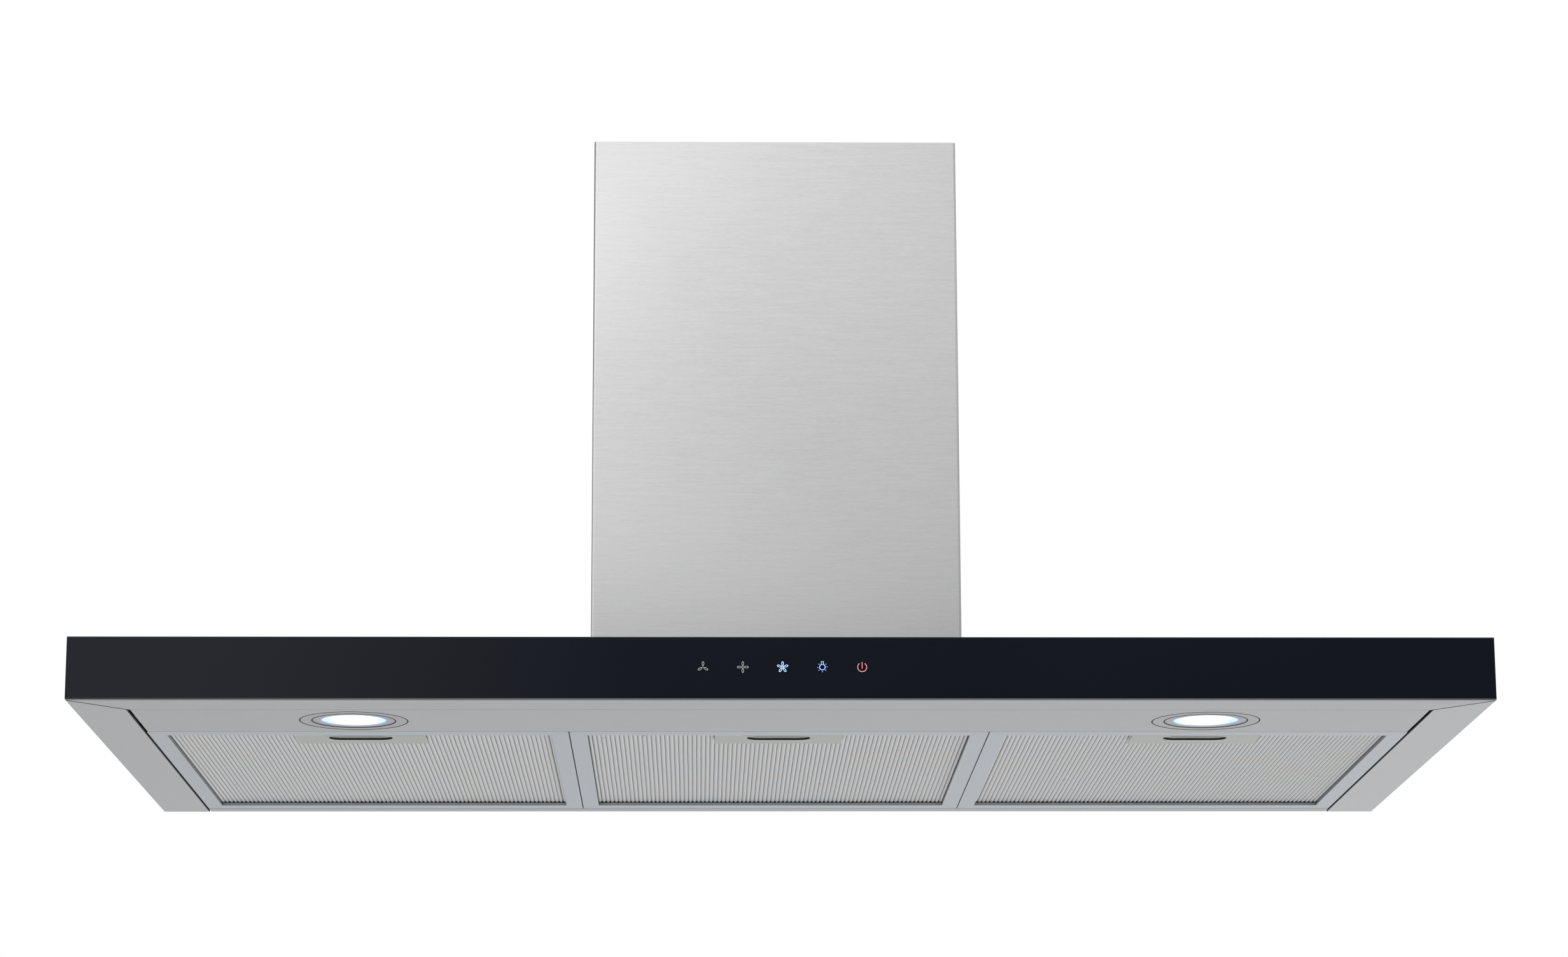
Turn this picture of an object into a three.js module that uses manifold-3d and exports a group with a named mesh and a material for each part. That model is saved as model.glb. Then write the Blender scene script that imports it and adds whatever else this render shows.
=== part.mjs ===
// Wall-mounted canopy range hood with a glass front, three grease filters and a telescopic chimney.
// Millimetres, +Z up, front towards -Y. The wall is the plane y = 0.
// Inside the hood group z = 0 is the plane of the underside. The part's origin is on the wall,
// at the centre of the canopy's back panel.
import * as THREE from "three";
import { mergeVertices } from "three/addons/utils/BufferGeometryUtils.js";
import Module from "manifold-3d";

// ---------- driving dimensions ----------
const seatGap = 0.3; // between pieces that touch

// Facets in a full turn
const largeRound = 24;
const middleRound = 18;
const smallRound = 12;

// Canopy
const canopyWidth = 900;
const canopyDepth = 490;
const canopyHeight = 40;
const sheet = 1; // canopy steel
const frontFlange = 35; // mitred border under the canopy
const sideFlange = 33.8;
const mitreGap = 0.8;
const mitreLand = 2.8; // metal left at the outer end of each mitre
const rearRimDepth = 16;
const rearRimUpstand = 14;
const rearCorner = 1.3; // rounded corners where the rim meets the side flanges
const panelSideGap = 1.7; // light panel to the side flanges
const filterSideGap = 1.05;
const rimSideGap = 0.8;

// Front glass
const glassThickness = 4;
const glassArris = 0.6;

// Touch controls behind the glass
const touchWidth = 156;
const touchHeight = 24;
const touchBoardThickness = 1.6;
const touchHousingDepth = 11;
const touchWall = 1.6;
const touchFlange = 7; // reach beyond the housing at its ends
const touchFlangeLow = 2.3; // and above and below it
const touchKeyPitch = 25;
const touchKeyCount = 5;
const touchPadRadius = 6;
const touchPadThickness = 0.8;
const touchZ = 20.5; // row of keys above the underside

// Light panel
const lightPanelDepth = 85;
const lightPanelUpstand = 22;
const lipReach = 8; // joggled lip over the front flange
const sideTabWidth = 24;
const sideTabReach = 7;

// Lamps
const lampX = 276; // from the middle of the hood
const trimRadius = 34.6; // flush with the panel
const trimGap = 0.4; // trim to the panel, and ring to the trim
const trimRim = 2.5; // hidden rim behind the panel
const trimThickness = 0.8;
const trimSleeveRadius = 29.5;
const trimSleeveHeight = 15;
const lampRingRadius = 26.8;
const lampRingWall = 1.8;
const lampRingHeight = 9;
const lampRingRecess = 0.5; // above the underside
const lampRingFloor = 0.6;
const lampAperture = 21;
const lampFacets = 20;
const lensThickness = 2.6;
const lampBodyHeight = 20;
const lampFinCount = 12;
const lampFinDepth = 3;
const lampFinGap = 2.4;

// Lamp driver
const driverSize = [118, 42, 22];
const driverX = 130;
const driverLidHeight = 3;
const driverLidInset = 3;
const driverFootReach = 8;
const driverFootThickness = 2;
const driverCorner = 2;

// Grease filters
const filterCount = 3;
const filterSpacingGap = 0.7; // between two filters
const filterEndGap = 0.8; // before and behind a filter
const filterHeight = 9;
const filterSheet = 0.8;
const filterSideBar = 11.5;
const filterEndBar = 15;
const filterTopFlange = 8;
const filterLip = 2; // inner edges of the bars folded up
const filterCornerRadius = 1.5;
const meshPitch = 6.3; // every second fold of the real mesh
const meshRise = 1.6; // height of one corrugation
const meshThickness = 4; // layers of mesh together
const meshClearance = 0.4;
const filterTabWidth = 22;
const filterTabReach = 6;
const filterTabThickness = 1.5;
const filterTabSpacing = 160;

// Filter handle and latch
const handleWidth = 85;
const handleDepth = 33.5;
const handleSheet = 0.8;
const slotLength = 42;
const slotWidth = 16;
const slotInset = 2.5; // from the frame bar's inner edge to the slot
const latchWidth = 48;
const tongueThickness = 2.4;
const gripLength = 37; // finger grip pressed into the pad, behind the front edge of the slot
const gripDepth = 6.3;
const gripRoof = 1.5;
const latchOverlap = 2; // pad behind the rear edge of the slot
const latchPost = 1; // spring posts behind the pad
const tongueWidth = 28;
const tongueRoom = 1; // round the tongue in the light panel's upstand
const guideFrontReach = 7; // guide in front of the slot
const guideWall = 1;
const notchGap = 1; // mesh to the guide
const springRadius = 1;
const springWire = 0.35;
const springTurns = 4;
const springLength = 8;

// Chimney
const chimneyWidth = 254;
const chimneyDepth = 274;
const chimneyTop = 435; // above the underside
const chimneySheet = 1;
const chimneyBend = 1.8; // outer bend radius
const chimneyReturn = 12; // rear edges folded inwards
const upperSheet = 0.8;
const upperClearance = 1;
const upperSetback = 2.2; // from the wall
const upperReturn = 10;
const upperTopGap = 4;
const ventRows = 3;
const ventColumns = 2;
const ventLength = 70;
const ventWidth = 5;
const ventPitch = 12;
const ventTopMargin = 26;
const ventColumnPitch = 95;

// Chimney wall bracket
const bracketHeight = 30;
const bracketSheet = 1.5;
const bracketEar = 22;
const bracketTopMargin = 30;
const bracketHole = 3;
const bracketHolePitch = 180;

// Motor box
const boxHeight = 230;
const boxSheet = 1;
const boxFlange = 8;
const boxSideGap = 2.2; // flange to the upper cover at the sides
const boxFrontGap = 3.2; // flange to the upper cover at the front
const keyholeX = 88;
const keyholeTop = 28; // head centre below the box top
const keyholeHead = 5.5;
const keyholeSlot = 3;
const keyholeRise = 11;

// Blower
const impellerRadius = 75;
const impellerBore = 61;
const impellerWidth = 112;
const bladeCount = 28;
const bladeThickness = 0.9;
const bladeCamber = 3.2;
const bladeLead = 2.5; // tip ahead of the root
const bladeSetIn = 0.5; // ends of a blade inside the rings
const bladeSegments = 2;
const impellerRing = 2;
const impellerDisc = 2;
const hubRadius = 15;
const hubLength = 26;
const hubGap = 6; // hub to the motor, and to the end of the shaft
const shaftRadius = 4;
const shaftCollar = 5; // length of the collar that holds the hub
const shaftCollarStep = 3;
const runningGap = 0.3;
const scrollClearance = 6; // impeller to the tongue
const scrollGrowth = 26; // from the tongue to the outlet
const scrollWall = 2;
const scrollInset = 3; // impeller end to the side plate
const scrollSteps = 18;
const inletRadius = 58;
const inletLip = 5;
const blowerFrontGap = 3; // volute flange to the front of the motor box
const blowerHeight = 155; // axis above the underside
const scrollFlange = 6;
const outletOffset = 8; // from the axis to the tongue side of the outlet
const lipFlare = 2;
const motorRadius = 43;
const motorLength = 62;
const motorEdge = 6; // chamfer at the closed end
const motorShoulder = 8; // and at the shaft end
const motorNose = 2;
const motorSocket = 18; // shaft inside the motor
const bracketArms = 3;
const bracketTurn = 30; // degrees, of the first arm
const bracketRing = 12; // ring beyond the inlet
const armWidth = 14;
const armThickness = 2;
const armRootInset = 14; // arm root inside the motor's rim
const capacitorRadius = 16;
const capacitorLength = 58;
const capacitorEdge = 2;
const capacitorStud = 5; // radius of the terminal end
const capacitorStudLength = 8;

// Outlet collar and damper
const collarRadius = 74.5; // takes a 150 mm duct
const collarTaper = 1;
const collarWall = 2.5;
const collarHeight = 50;
const collarFlangeRadius = 86;
const collarFlange = 3;
const collarFillet = 2;
const collarOffset = 33; // centre behind the blower axis
const ledgeWidth = 4;
const ledgeHeight = 2;
const ledgeTop = 14;
const pinRadius = 2;
const flapThickness = 1.6;
const flapClearance = 1.2;
const knuckleWall = 1.6;
const knuckleCells = 4; // every second one holds a knuckle
const knuckleGap = 1;
const knuckleReach = 0.8; // share of the flap's radius

// Terminal box
const terminalSize = [92, 34, 24];
const terminalX = 40;
const terminalWall = 2;
const terminalCorner = 3;
const terminalLid = 2.4;
const terminalPlug = 3; // depth of the lid's plug in the box
const grommetRadius = 8;
const grommetHeight = 7;
const grommetNeck = 2; // neck smaller than the head
const grommetDepth = 5;
const grommetDimple = 3;

// ---------- derived places ----------
const rad = Math.PI / 180;
const halfWidth = canopyWidth / 2;
const shellFront = -canopyDepth + glassThickness + seatGap;
const flangeInner = halfWidth - sideFlange;
const panelFront = shellFront + frontFlange + seatGap;
const panelRear = panelFront + lightPanelDepth;
const panelHalf = flangeInner - panelSideGap;
const rimHalf = flangeInner - rimSideGap;
const filtersHalf = flangeInner - filterSideGap;
const filterFront = panelRear + filterEndGap;
const filterRear = -rearRimDepth - filterEndGap;
const filterDepth = filterRear - filterFront;
const filterWidth = (2 * filtersHalf - (filterCount - 1) * filterSpacingGap) / filterCount;
const filterPitch = filterWidth + filterSpacingGap;
const upperWidth = chimneyWidth - 2 * (chimneySheet + upperClearance);
const upperDepth = chimneyDepth - chimneySheet - upperClearance;
const boxWidth = upperWidth - 2 * (upperSheet + boxSideGap + boxFlange);
const boxDepth = upperDepth - upperSheet - boxFrontGap - boxFlange;
const boxBase = canopyHeight + seatGap;
const boxTop = boxBase + boxHeight;
const lampY = (panelFront + panelRear) / 2;

// ---------- solids ----------
const wasm = await Module();
wasm.setup();

function toSolid(geometry) {
  const bare = geometry.clone();
  bare.deleteAttribute("normal");
  bare.deleteAttribute("uv");
  const merged = mergeVertices(bare, 1e-4);
  return new wasm.Manifold(
    new wasm.Mesh({
      numProp: 3,
      vertProperties: merged.attributes.position.array,
      triVerts: new Uint32Array(merged.index.array),
    }),
  );
}

function toGeometry(solid) {
  const mesh = solid.getMesh();
  const geometry = new THREE.BufferGeometry();
  geometry.setAttribute("position", new THREE.BufferAttribute(mesh.vertProperties, 3));
  geometry.setIndex(new THREE.BufferAttribute(mesh.triVerts, 1));
  return geometry.toNonIndexed();
}

// Joins the first geometries and cuts the second ones from them.
function carve(added, removed = []) {
  let solid = toSolid(added[0]);
  for (const geometry of added.slice(1)) solid = solid.add(toSolid(geometry));
  for (const geometry of removed) solid = solid.subtract(toSolid(geometry));
  return toGeometry(solid);
}

// A box between two corners.
function block(x0, x1, y0, y1, z0, z1) {
  const geometry = new THREE.BoxGeometry(x1 - x0, y1 - y0, z1 - z0);
  return geometry.translate((x0 + x1) / 2, (y0 + y1) / 2, (z0 + z1) / 2);
}

// A flat shape in XY, raised from z0 to z1.
function raise(shape, z0, z1, curveSegments = 12) {
  const geometry = new THREE.ExtrudeGeometry(shape, {
    depth: z1 - z0,
    bevelEnabled: false,
    curveSegments,
  });
  return geometry.translate(0, 0, z0);
}

// A shape drawn in YZ, run along X from x0 to x1.
function runAlongX(shape, x0, x1, curveSegments = 12) {
  const geometry = raise(shape, x0, x1, curveSegments);
  return geometry.applyMatrix4(new THREE.Matrix4().set(0, 0, 1, 0, 1, 0, 0, 0, 0, 1, 0, 0, 0, 0, 0, 1));
}

// A shape drawn in XZ, run along Y from y0 to y1.
function runAlongY(shape, y0, y1, curveSegments = 12) {
  const geometry = raise(shape, -y1, -y0, curveSegments);
  return geometry.rotateX(Math.PI / 2);
}

// A round bar along Z.
function rod(radius, z0, z1, segments = middleRound) {
  const geometry = new THREE.CylinderGeometry(radius, radius, z1 - z0, segments);
  return geometry.rotateX(Math.PI / 2).translate(0, 0, (z0 + z1) / 2);
}

// A closed [radius, height] profile turned about Z.
function turn(profile, segments = largeRound) {
  const points = profile.map(([r, z]) => new THREE.Vector2(r, z));
  if (profile[0][0] > 0) points.push(points[0].clone());
  return new THREE.LatheGeometry(points, segments).rotateX(Math.PI / 2);
}

function rectangle(x0, x1, y0, y1) {
  return new THREE.Shape([
    new THREE.Vector2(x0, y0),
    new THREE.Vector2(x1, y0),
    new THREE.Vector2(x1, y1),
    new THREE.Vector2(x0, y1),
  ]);
}

function roundedRectangle(width, height, radius) {
  const x = width / 2;
  const y = height / 2;
  const shape = new THREE.Shape();
  shape.moveTo(-x + radius, -y);
  shape.lineTo(x - radius, -y);
  shape.absarc(x - radius, -y + radius, radius, -Math.PI / 2, 0);
  shape.lineTo(x, y - radius);
  shape.absarc(x - radius, y - radius, radius, 0, Math.PI / 2);
  shape.lineTo(-x + radius, y);
  shape.absarc(-x + radius, y - radius, radius, Math.PI / 2, Math.PI);
  shape.lineTo(-x, -y + radius);
  shape.absarc(-x + radius, -y + radius, radius, Math.PI, 1.5 * Math.PI);
  return shape;
}

function stadium(length, width) {
  const reach = (length - width) / 2;
  const shape = new THREE.Shape();
  shape.absarc(reach, 0, width / 2, -Math.PI / 2, Math.PI / 2);
  shape.absarc(-reach, 0, width / 2, Math.PI / 2, 1.5 * Math.PI);
  return shape;
}

// ---------- finishes ----------
const finish = (color, roughness, metalness) => ({ color, roughness, metalness });
const steel = finish(0xb9bcbe, 0.35, 1);
const steelDark = finish(0x9da1a4, 0.4, 1);
const galvanised = finish(0xa9adb0, 0.5, 1);
const aluminium = finish(0xc4c8ca, 0.4, 1);
const blackGlass = finish(0x14161a, 0.08, 0);
const blackPlastic = finish(0x1d1e20, 0.6, 0);
const greyPlastic = finish(0x8f9496, 0.55, 0);
const whitePlastic = finish(0xe6e6e2, 0.5, 0);
const boardGreen = finish(0x1f5a3a, 0.6, 0);
const lampGlass = finish(0xf4f7ff, 0.15, 0);

function piece(name, geometry, look, x = 0, y = 0, z = 0) {
  const mesh = new THREE.Mesh(geometry, new THREE.MeshStandardMaterial(look));
  mesh.name = name;
  mesh.position.set(x, y, z);
  return mesh;
}

// ---------- canopy ----------
function canopyShell() {
  const hollow = block(
    -halfWidth + sheet,
    halfWidth - sheet,
    shellFront + sheet,
    -sheet,
    sheet,
    canopyHeight - sheet,
  );
  const outer = block(-halfWidth, halfWidth, shellFront, 0, 0, canopyHeight);
  const underside = block(-flangeInner, flangeInner, shellFront + frontFlange, -sheet, -sheet, 2 * sheet);
  const rimRoom = raise(rimRoomShape(), -sheet, sheet + seatGap, 3);
  const blowerOpening = block(
    -boxWidth / 2 + boxSheet,
    boxWidth / 2 - boxSheet,
    -boxDepth + boxSheet,
    -4 * boxSheet,
    canopyHeight - 2 * sheet,
    canopyHeight + sheet,
  );
  const touchOpening = block(
    -touchWidth / 2 - seatGap,
    touchWidth / 2 + seatGap,
    shellFront - sheet,
    shellFront + 2 * sheet,
    touchZ - touchHeight / 2 - seatGap,
    touchZ + touchHeight / 2 + seatGap,
  );
  const mitreEnd = Math.hypot(sideFlange, frontFlange);
  const mitres = [-1, 1].map((side) => {
    const cut = block(-mitreGap / 2, mitreGap / 2, mitreLand, mitreEnd, -sheet, 1.5 * sheet);
    cut.rotateZ(side * Math.atan2(sideFlange, frontFlange));
    return cut.translate(side * halfWidth, shellFront, 0);
  });
  return carve([outer], [hollow, underside, rimRoom, blowerOpening, touchOpening, ...mitres]);
}

// The room under the back panel for the rear rim. It flares at the rounded ends of the side flanges.
function rimRoomShape() {
  const corner = flangeInner + rearCorner;
  const shape = new THREE.Shape();
  shape.moveTo(-flangeInner, -2 * rearCorner);
  shape.lineTo(flangeInner, -2 * rearCorner);
  shape.lineTo(flangeInner, -rearCorner);
  shape.absarc(corner, -rearCorner, rearCorner, Math.PI, Math.PI / 2, true);
  shape.lineTo(corner, sheet);
  shape.lineTo(-corner, sheet);
  shape.lineTo(-corner, 0);
  shape.absarc(-corner, -rearCorner, rearCorner, Math.PI / 2, 0, true);
  return shape;
}

// The rim runs under the back panel, and its upstand stands in front of the panel.
function rearRim() {
  const front = -sheet - seatGap;
  const profile = new THREE.Shape();
  profile.moveTo(-rearRimDepth, 0);
  profile.lineTo(-sheet, 0);
  profile.absarc(-sheet, sheet, sheet, -Math.PI / 2, 0);
  profile.lineTo(front, sheet);
  profile.lineTo(front, rearRimUpstand);
  profile.lineTo(front - sheet, rearRimUpstand);
  profile.lineTo(front - sheet, sheet);
  profile.lineTo(-rearRimDepth, sheet);
  const plan = new THREE.Shape();
  plan.moveTo(-rimHalf, -rearRimDepth - 1);
  plan.lineTo(rimHalf, -rearRimDepth - 1);
  plan.lineTo(rimHalf, -rearCorner);
  plan.absarc(rimHalf - rearCorner, -rearCorner, rearCorner, 0, Math.PI / 2);
  plan.lineTo(rearCorner - rimHalf, 0);
  plan.absarc(rearCorner - rimHalf, -rearCorner, rearCorner, Math.PI / 2, Math.PI);
  const bar = toSolid(runAlongX(profile, -rimHalf, rimHalf, 3));
  return toGeometry(bar.intersect(toSolid(raise(plan, -1, rearRimUpstand + 1, 3))));
}

function lightPanel() {
  const lipZ = sheet + seatGap;
  const floor = block(-panelHalf, panelHalf, panelFront, panelRear, 0, sheet);
  const step = block(-panelHalf, panelHalf, panelFront, panelFront + sheet, 0, lipZ + sheet);
  const lip = block(-panelHalf, panelHalf, panelFront - lipReach, panelFront + sheet, lipZ, lipZ + sheet);
  const upstand = block(-panelHalf, panelHalf, panelRear - sheet, panelRear, 0, lightPanelUpstand);
  const added = [floor, step, lip, upstand];
  for (const side of [-1, 1]) {
    const inner = panelHalf - sheet;
    const outer = flangeInner + sideTabReach;
    const riser = block(-sheet / 2, sheet / 2, -sideTabWidth / 2, sideTabWidth / 2, 0, lipZ + sheet);
    added.push(riser.translate(side * (panelHalf - sheet / 2), lampY, 0));
    const tab = block(0, outer - inner, -sideTabWidth / 2, sideTabWidth / 2, lipZ, lipZ + sheet);
    added.push(tab.translate(side > 0 ? inner : -outer, lampY, 0));
  }
  const removed = [];
  for (const side of [-1, 1]) {
    const hole = rod(trimRadius + trimGap, -sheet, 2 * sheet, largeRound);
    removed.push(hole.translate(side * lampX, lampY, 0));
  }
  for (let i = 0; i < filterCount; i++) {
    const x = (i - (filterCount - 1) / 2) * filterPitch;
    const half = tongueWidth / 2 + tongueRoom;
    const base = tongueBase - tongueRoom;
    const top = latchTop + tongueRoom;
    removed.push(block(x - half, x + half, panelRear - 2 * sheet, panelRear + sheet, base, top));
  }
  return carve(added, removed);
}

function frontGlass() {
  const face = rectangle(
    -halfWidth + glassArris,
    halfWidth - glassArris,
    glassArris,
    canopyHeight - glassArris,
  );
  const geometry = new THREE.ExtrudeGeometry(face, {
    depth: glassThickness - 2 * glassArris,
    bevelThickness: glassArris,
    bevelSize: glassArris,
    bevelSegments: 1,
  });
  geometry.rotateX(Math.PI / 2);
  return geometry.translate(0, -canopyDepth + glassThickness - glassArris, 0);
}

// ---------- touch controls ----------
function touchBoard() {
  const front = shellFront + seatGap + touchPadThickness;
  const halfLength = touchWidth / 2 - seatGap;
  const halfHeight = touchHeight / 2 - seatGap;
  const board = block(
    -halfLength,
    halfLength,
    front,
    front + touchBoardThickness,
    touchZ - halfHeight,
    touchZ + halfHeight,
  );
  const added = [board];
  for (let i = 0; i < touchKeyCount; i++) {
    const x = (i - (touchKeyCount - 1) / 2) * touchKeyPitch;
    const pad = rod(touchPadRadius, 0, touchPadThickness + touchBoardThickness / 2, smallRound);
    added.push(pad.rotateX(Math.PI / 2).translate(x, front + touchBoardThickness / 2, touchZ));
  }
  return carve(added);
}

function touchHousing() {
  const front = shellFront + sheet + seatGap;
  const outerX = touchWidth / 2 + touchWall;
  const outerZ = touchHeight / 2 + touchWall;
  const flangeX = outerX + touchFlange;
  const flangeZ = outerZ + touchFlangeLow;
  const back = front + touchHousingDepth;
  return carve(
    [
      block(-outerX, outerX, front, back, touchZ - outerZ, touchZ + outerZ),
      block(-flangeX, flangeX, front, front + touchWall, touchZ - flangeZ, touchZ + flangeZ),
    ],
    [
      block(
        -touchWidth / 2,
        touchWidth / 2,
        front - touchWall,
        back - touchWall,
        touchZ - touchHeight / 2,
        touchZ + touchHeight / 2,
      ),
    ],
  );
}

// ---------- lamps ----------
// The trim fills a hole in the light panel and is held by a rim behind it.
function lampTrim() {
  const bore = lampRingRadius + trimGap;
  const shoulder = sheet + seatGap;
  return turn([
    [bore, 0],
    [trimRadius, 0],
    [trimRadius, shoulder],
    [trimRadius + trimRim, shoulder],
    [trimRadius + trimRim, shoulder + trimThickness],
    [trimSleeveRadius, shoulder + trimThickness],
    [trimSleeveRadius, trimSleeveHeight],
    [bore, trimSleeveHeight],
  ]);
}

const lampRingTop = lampRingRecess + lampRingHeight;
const lensBase = lampRingRecess + lampRingFloor + seatGap;

function lampRing() {
  return turn([
    [lampAperture, lampRingRecess],
    [lampRingRadius, lampRingRecess],
    [lampRingRadius, lampRingTop],
    [lampRingRadius - lampRingWall, lampRingTop],
    [lampRingRadius - lampRingWall, lampRingRecess + lampRingFloor],
    [lampAperture, lampRingRecess + lampRingFloor],
  ]);
}

// The lens has a ring of flat facets round a small dome.
function lampLens() {
  const rim = lampRingRadius - lampRingWall - seatGap;
  return turn([
    [0, lensBase + 0.9],
    [lampAperture * 0.45, lensBase + 0.2],
    [lampAperture, lensBase],
    [rim, lensBase],
    [rim, lensBase + lensThickness],
    [0, lensBase + lensThickness],
  ], lampFacets);
}

function lampBody() {
  const base = lensBase + lensThickness + seatGap;
  const plugRadius = lampRingRadius - lampRingWall - seatGap;
  const headBase = lampRingTop + seatGap;
  const bore = lampRingRadius;
  const body = turn([
    [0, base],
    [plugRadius, base],
    [plugRadius, headBase],
    [bore, headBase],
    [bore, headBase + lampBodyHeight],
    [0, headBase + lampBodyHeight],
  ], middleRound);
  const removed = [];
  for (let i = 0; i < lampFinCount; i++) {
    const groove = block(
      bore - lampFinDepth,
      bore + 1,
      -lampFinGap / 2,
      lampFinGap / 2,
      headBase + lampBodyHeight / 3,
      headBase + lampBodyHeight + 1,
    );
    removed.push(groove.rotateZ((i / lampFinCount) * 2 * Math.PI));
  }
  return carve([body], removed);
}

function lampDriver() {
  const [length, width, height] = driverSize;
  const inset = 2 * driverLidInset;
  const case_ = roundedRectangle(length, width, driverCorner);
  const lid = roundedRectangle(length - inset, width - inset, driverCorner);
  const foot = roundedRectangle(length + 2 * driverFootReach, width / 2, driverCorner);
  return carve([
    raise(case_, 0, height - driverLidHeight, 2),
    raise(lid, 0, height, 2),
    raise(foot, 0, driverFootThickness, 2),
  ]);
}

// ---------- grease filters ----------
const frameInnerFront = filterFront + filterEndBar;
const plateFront = frameInnerFront + seatGap;
const plateRear = frameInnerFront + handleDepth;
const treadFront = filterFront + filterSheet + seatGap;
const treadBase = filterSheet + seatGap;
const treadTop = treadBase + handleSheet;
const treadRear = plateFront + handleSheet;
const slotFront = frameInnerFront + slotInset;
const slotY = slotFront + slotWidth / 2;
const padFront = treadRear + seatGap;
const padBase = handleSheet + seatGap;
const tongueBase = treadTop + seatGap;
const latchTop = tongueBase + tongueThickness;
const guideFront = slotFront - guideFrontReach;
const latchFront = guideFront + guideWall + seatGap;
const latchRear = slotFront + slotWidth + latchOverlap;
const springFront = latchRear + latchPost + seatGap;
const guideRear = springFront + springLength + seatGap + guideWall;
const guideHalf = latchWidth / 2 + guideWall + seatGap;
const springX = latchWidth / 2 - springRadius - 1;
const guideTop = latchTop + seatGap + guideWall;

function filterFrame() {
  const middleY = (filterFront + filterRear) / 2;
  const ring = (sideBar, endBar, z0, z1) => {
    const shape = roundedRectangle(filterWidth, filterDepth, filterCornerRadius);
    const x = filterWidth / 2 - sideBar;
    const y = filterDepth / 2 - endBar;
    shape.holes.push(rectangle(-x, x, -y, y));
    return raise(shape, z0, z1, 2).translate(0, middleY, 0);
  };
  const lipX = filterWidth / 2 - filterSideBar;
  const lipY = filterDepth / 2 - filterEndBar;
  const outerX = lipX + filterSheet;
  const outerY = lipY + filterSheet;
  const lipShape = rectangle(-outerX, outerX, -outerY, outerY);
  lipShape.holes.push(rectangle(-lipX, lipX, -lipY, lipY));
  const added = [
    ring(filterSideBar, filterEndBar, 0, filterSheet),
    raise(lipShape, 0, filterLip).translate(0, middleY, 0),
    ring(filterSheet, filterSheet, 0, filterHeight),
    ring(filterTopFlange, filterTopFlange, filterHeight - filterSheet, filterHeight),
  ];
  const tabBase = sheet + seatGap;
  for (const side of [-1, 1]) {
    const x = (side * filterTabSpacing) / 2;
    const half = filterTabWidth / 2;
    added.push(
      block(
        x - half,
        x + half,
        filterRear - filterSheet,
        filterRear + filterTabReach,
        tabBase,
        tabBase + filterTabThickness,
      ),
    );
  }
  const slotHalf = tongueWidth / 2 + seatGap;
  const tongueSlot = block(
    -slotHalf,
    slotHalf,
    filterFront - 1,
    filterFront + 2 * filterSheet,
    tongueBase - seatGap,
    latchTop + seatGap,
  );
  const plateHalf = handleWidth / 2 + seatGap;
  const plateRoom = block(
    -plateHalf,
    plateHalf,
    frameInnerFront - 2 * filterSheet,
    frameInnerFront + filterSheet,
    filterSheet,
    filterLip + 1,
  );
  return carve(added, [tongueSlot, plateRoom]);
}

function filterMesh() {
  const half = filterWidth / 2 - filterSheet - meshClearance;
  const y0 = filterFront + filterSheet + meshClearance;
  const y1 = filterRear - filterSheet - meshClearance;
  const bottom = filterLip + seatGap;
  const top = bottom + meshThickness;
  const ridges = Math.floor((2 * half) / meshPitch);
  const pitch = (2 * half) / ridges;
  const outline = [new THREE.Vector2(half, top), new THREE.Vector2(-half, top)];
  for (let i = 0; i <= 2 * ridges; i++) {
    const rise = i % 2 ? meshRise : 0;
    outline.push(new THREE.Vector2(-half + (i * pitch) / 2, bottom + rise));
  }
  const slab = runAlongY(new THREE.Shape(outline), y0, y1);
  const notchHalf = guideHalf + notchGap;
  const notch = block(-notchHalf, notchHalf, y0 - 1, guideRear + notchGap, -1, filterHeight + 1);
  return carve([slab], [notch]);
}

// A pressed plate with the finger slot, flush with the frame. A tread at its front steps up over the
// frame's bar, and a box above the plate guides the latch.
function filterHandle() {
  const half = handleWidth / 2;
  const plate = block(-half, half, plateFront, plateRear, 0, handleSheet);
  const riser = block(-half, half, plateFront, treadRear, 0, treadTop);
  const tread = block(-half, half, treadFront, treadRear, treadBase, treadTop);
  const guideOverBar = block(-guideHalf, guideHalf, guideFront, treadRear, treadBase, guideTop);
  const guide = block(-guideHalf, guideHalf, plateFront, guideRear, 0, guideTop);
  const roomHalf = guideHalf - guideWall;
  const roomFront = guideFront + guideWall;
  const roomRear = guideRear - guideWall;
  const roomTop = latchTop + seatGap;
  const upperRoom = block(-roomHalf, roomHalf, roomFront, roomRear, treadTop, roomTop);
  const lowerRoom = block(-roomHalf, roomHalf, treadRear, roomRear, handleSheet, roomTop);
  const slot = raise(stadium(slotLength, slotWidth), -1, handleSheet + 1, smallRound / 2);
  slot.translate(0, slotY, 0);
  const mouthHalf = tongueWidth / 2 + seatGap;
  const mouthRear = guideFront + 2 * guideWall;
  const mouth = block(-mouthHalf, mouthHalf, guideFront - 1, mouthRear, tongueBase - seatGap, roomTop);
  return carve([plate, riser, tread, guideOverBar, guide], [upperRoom, lowerRoom, slot, mouth]);
}

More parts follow.
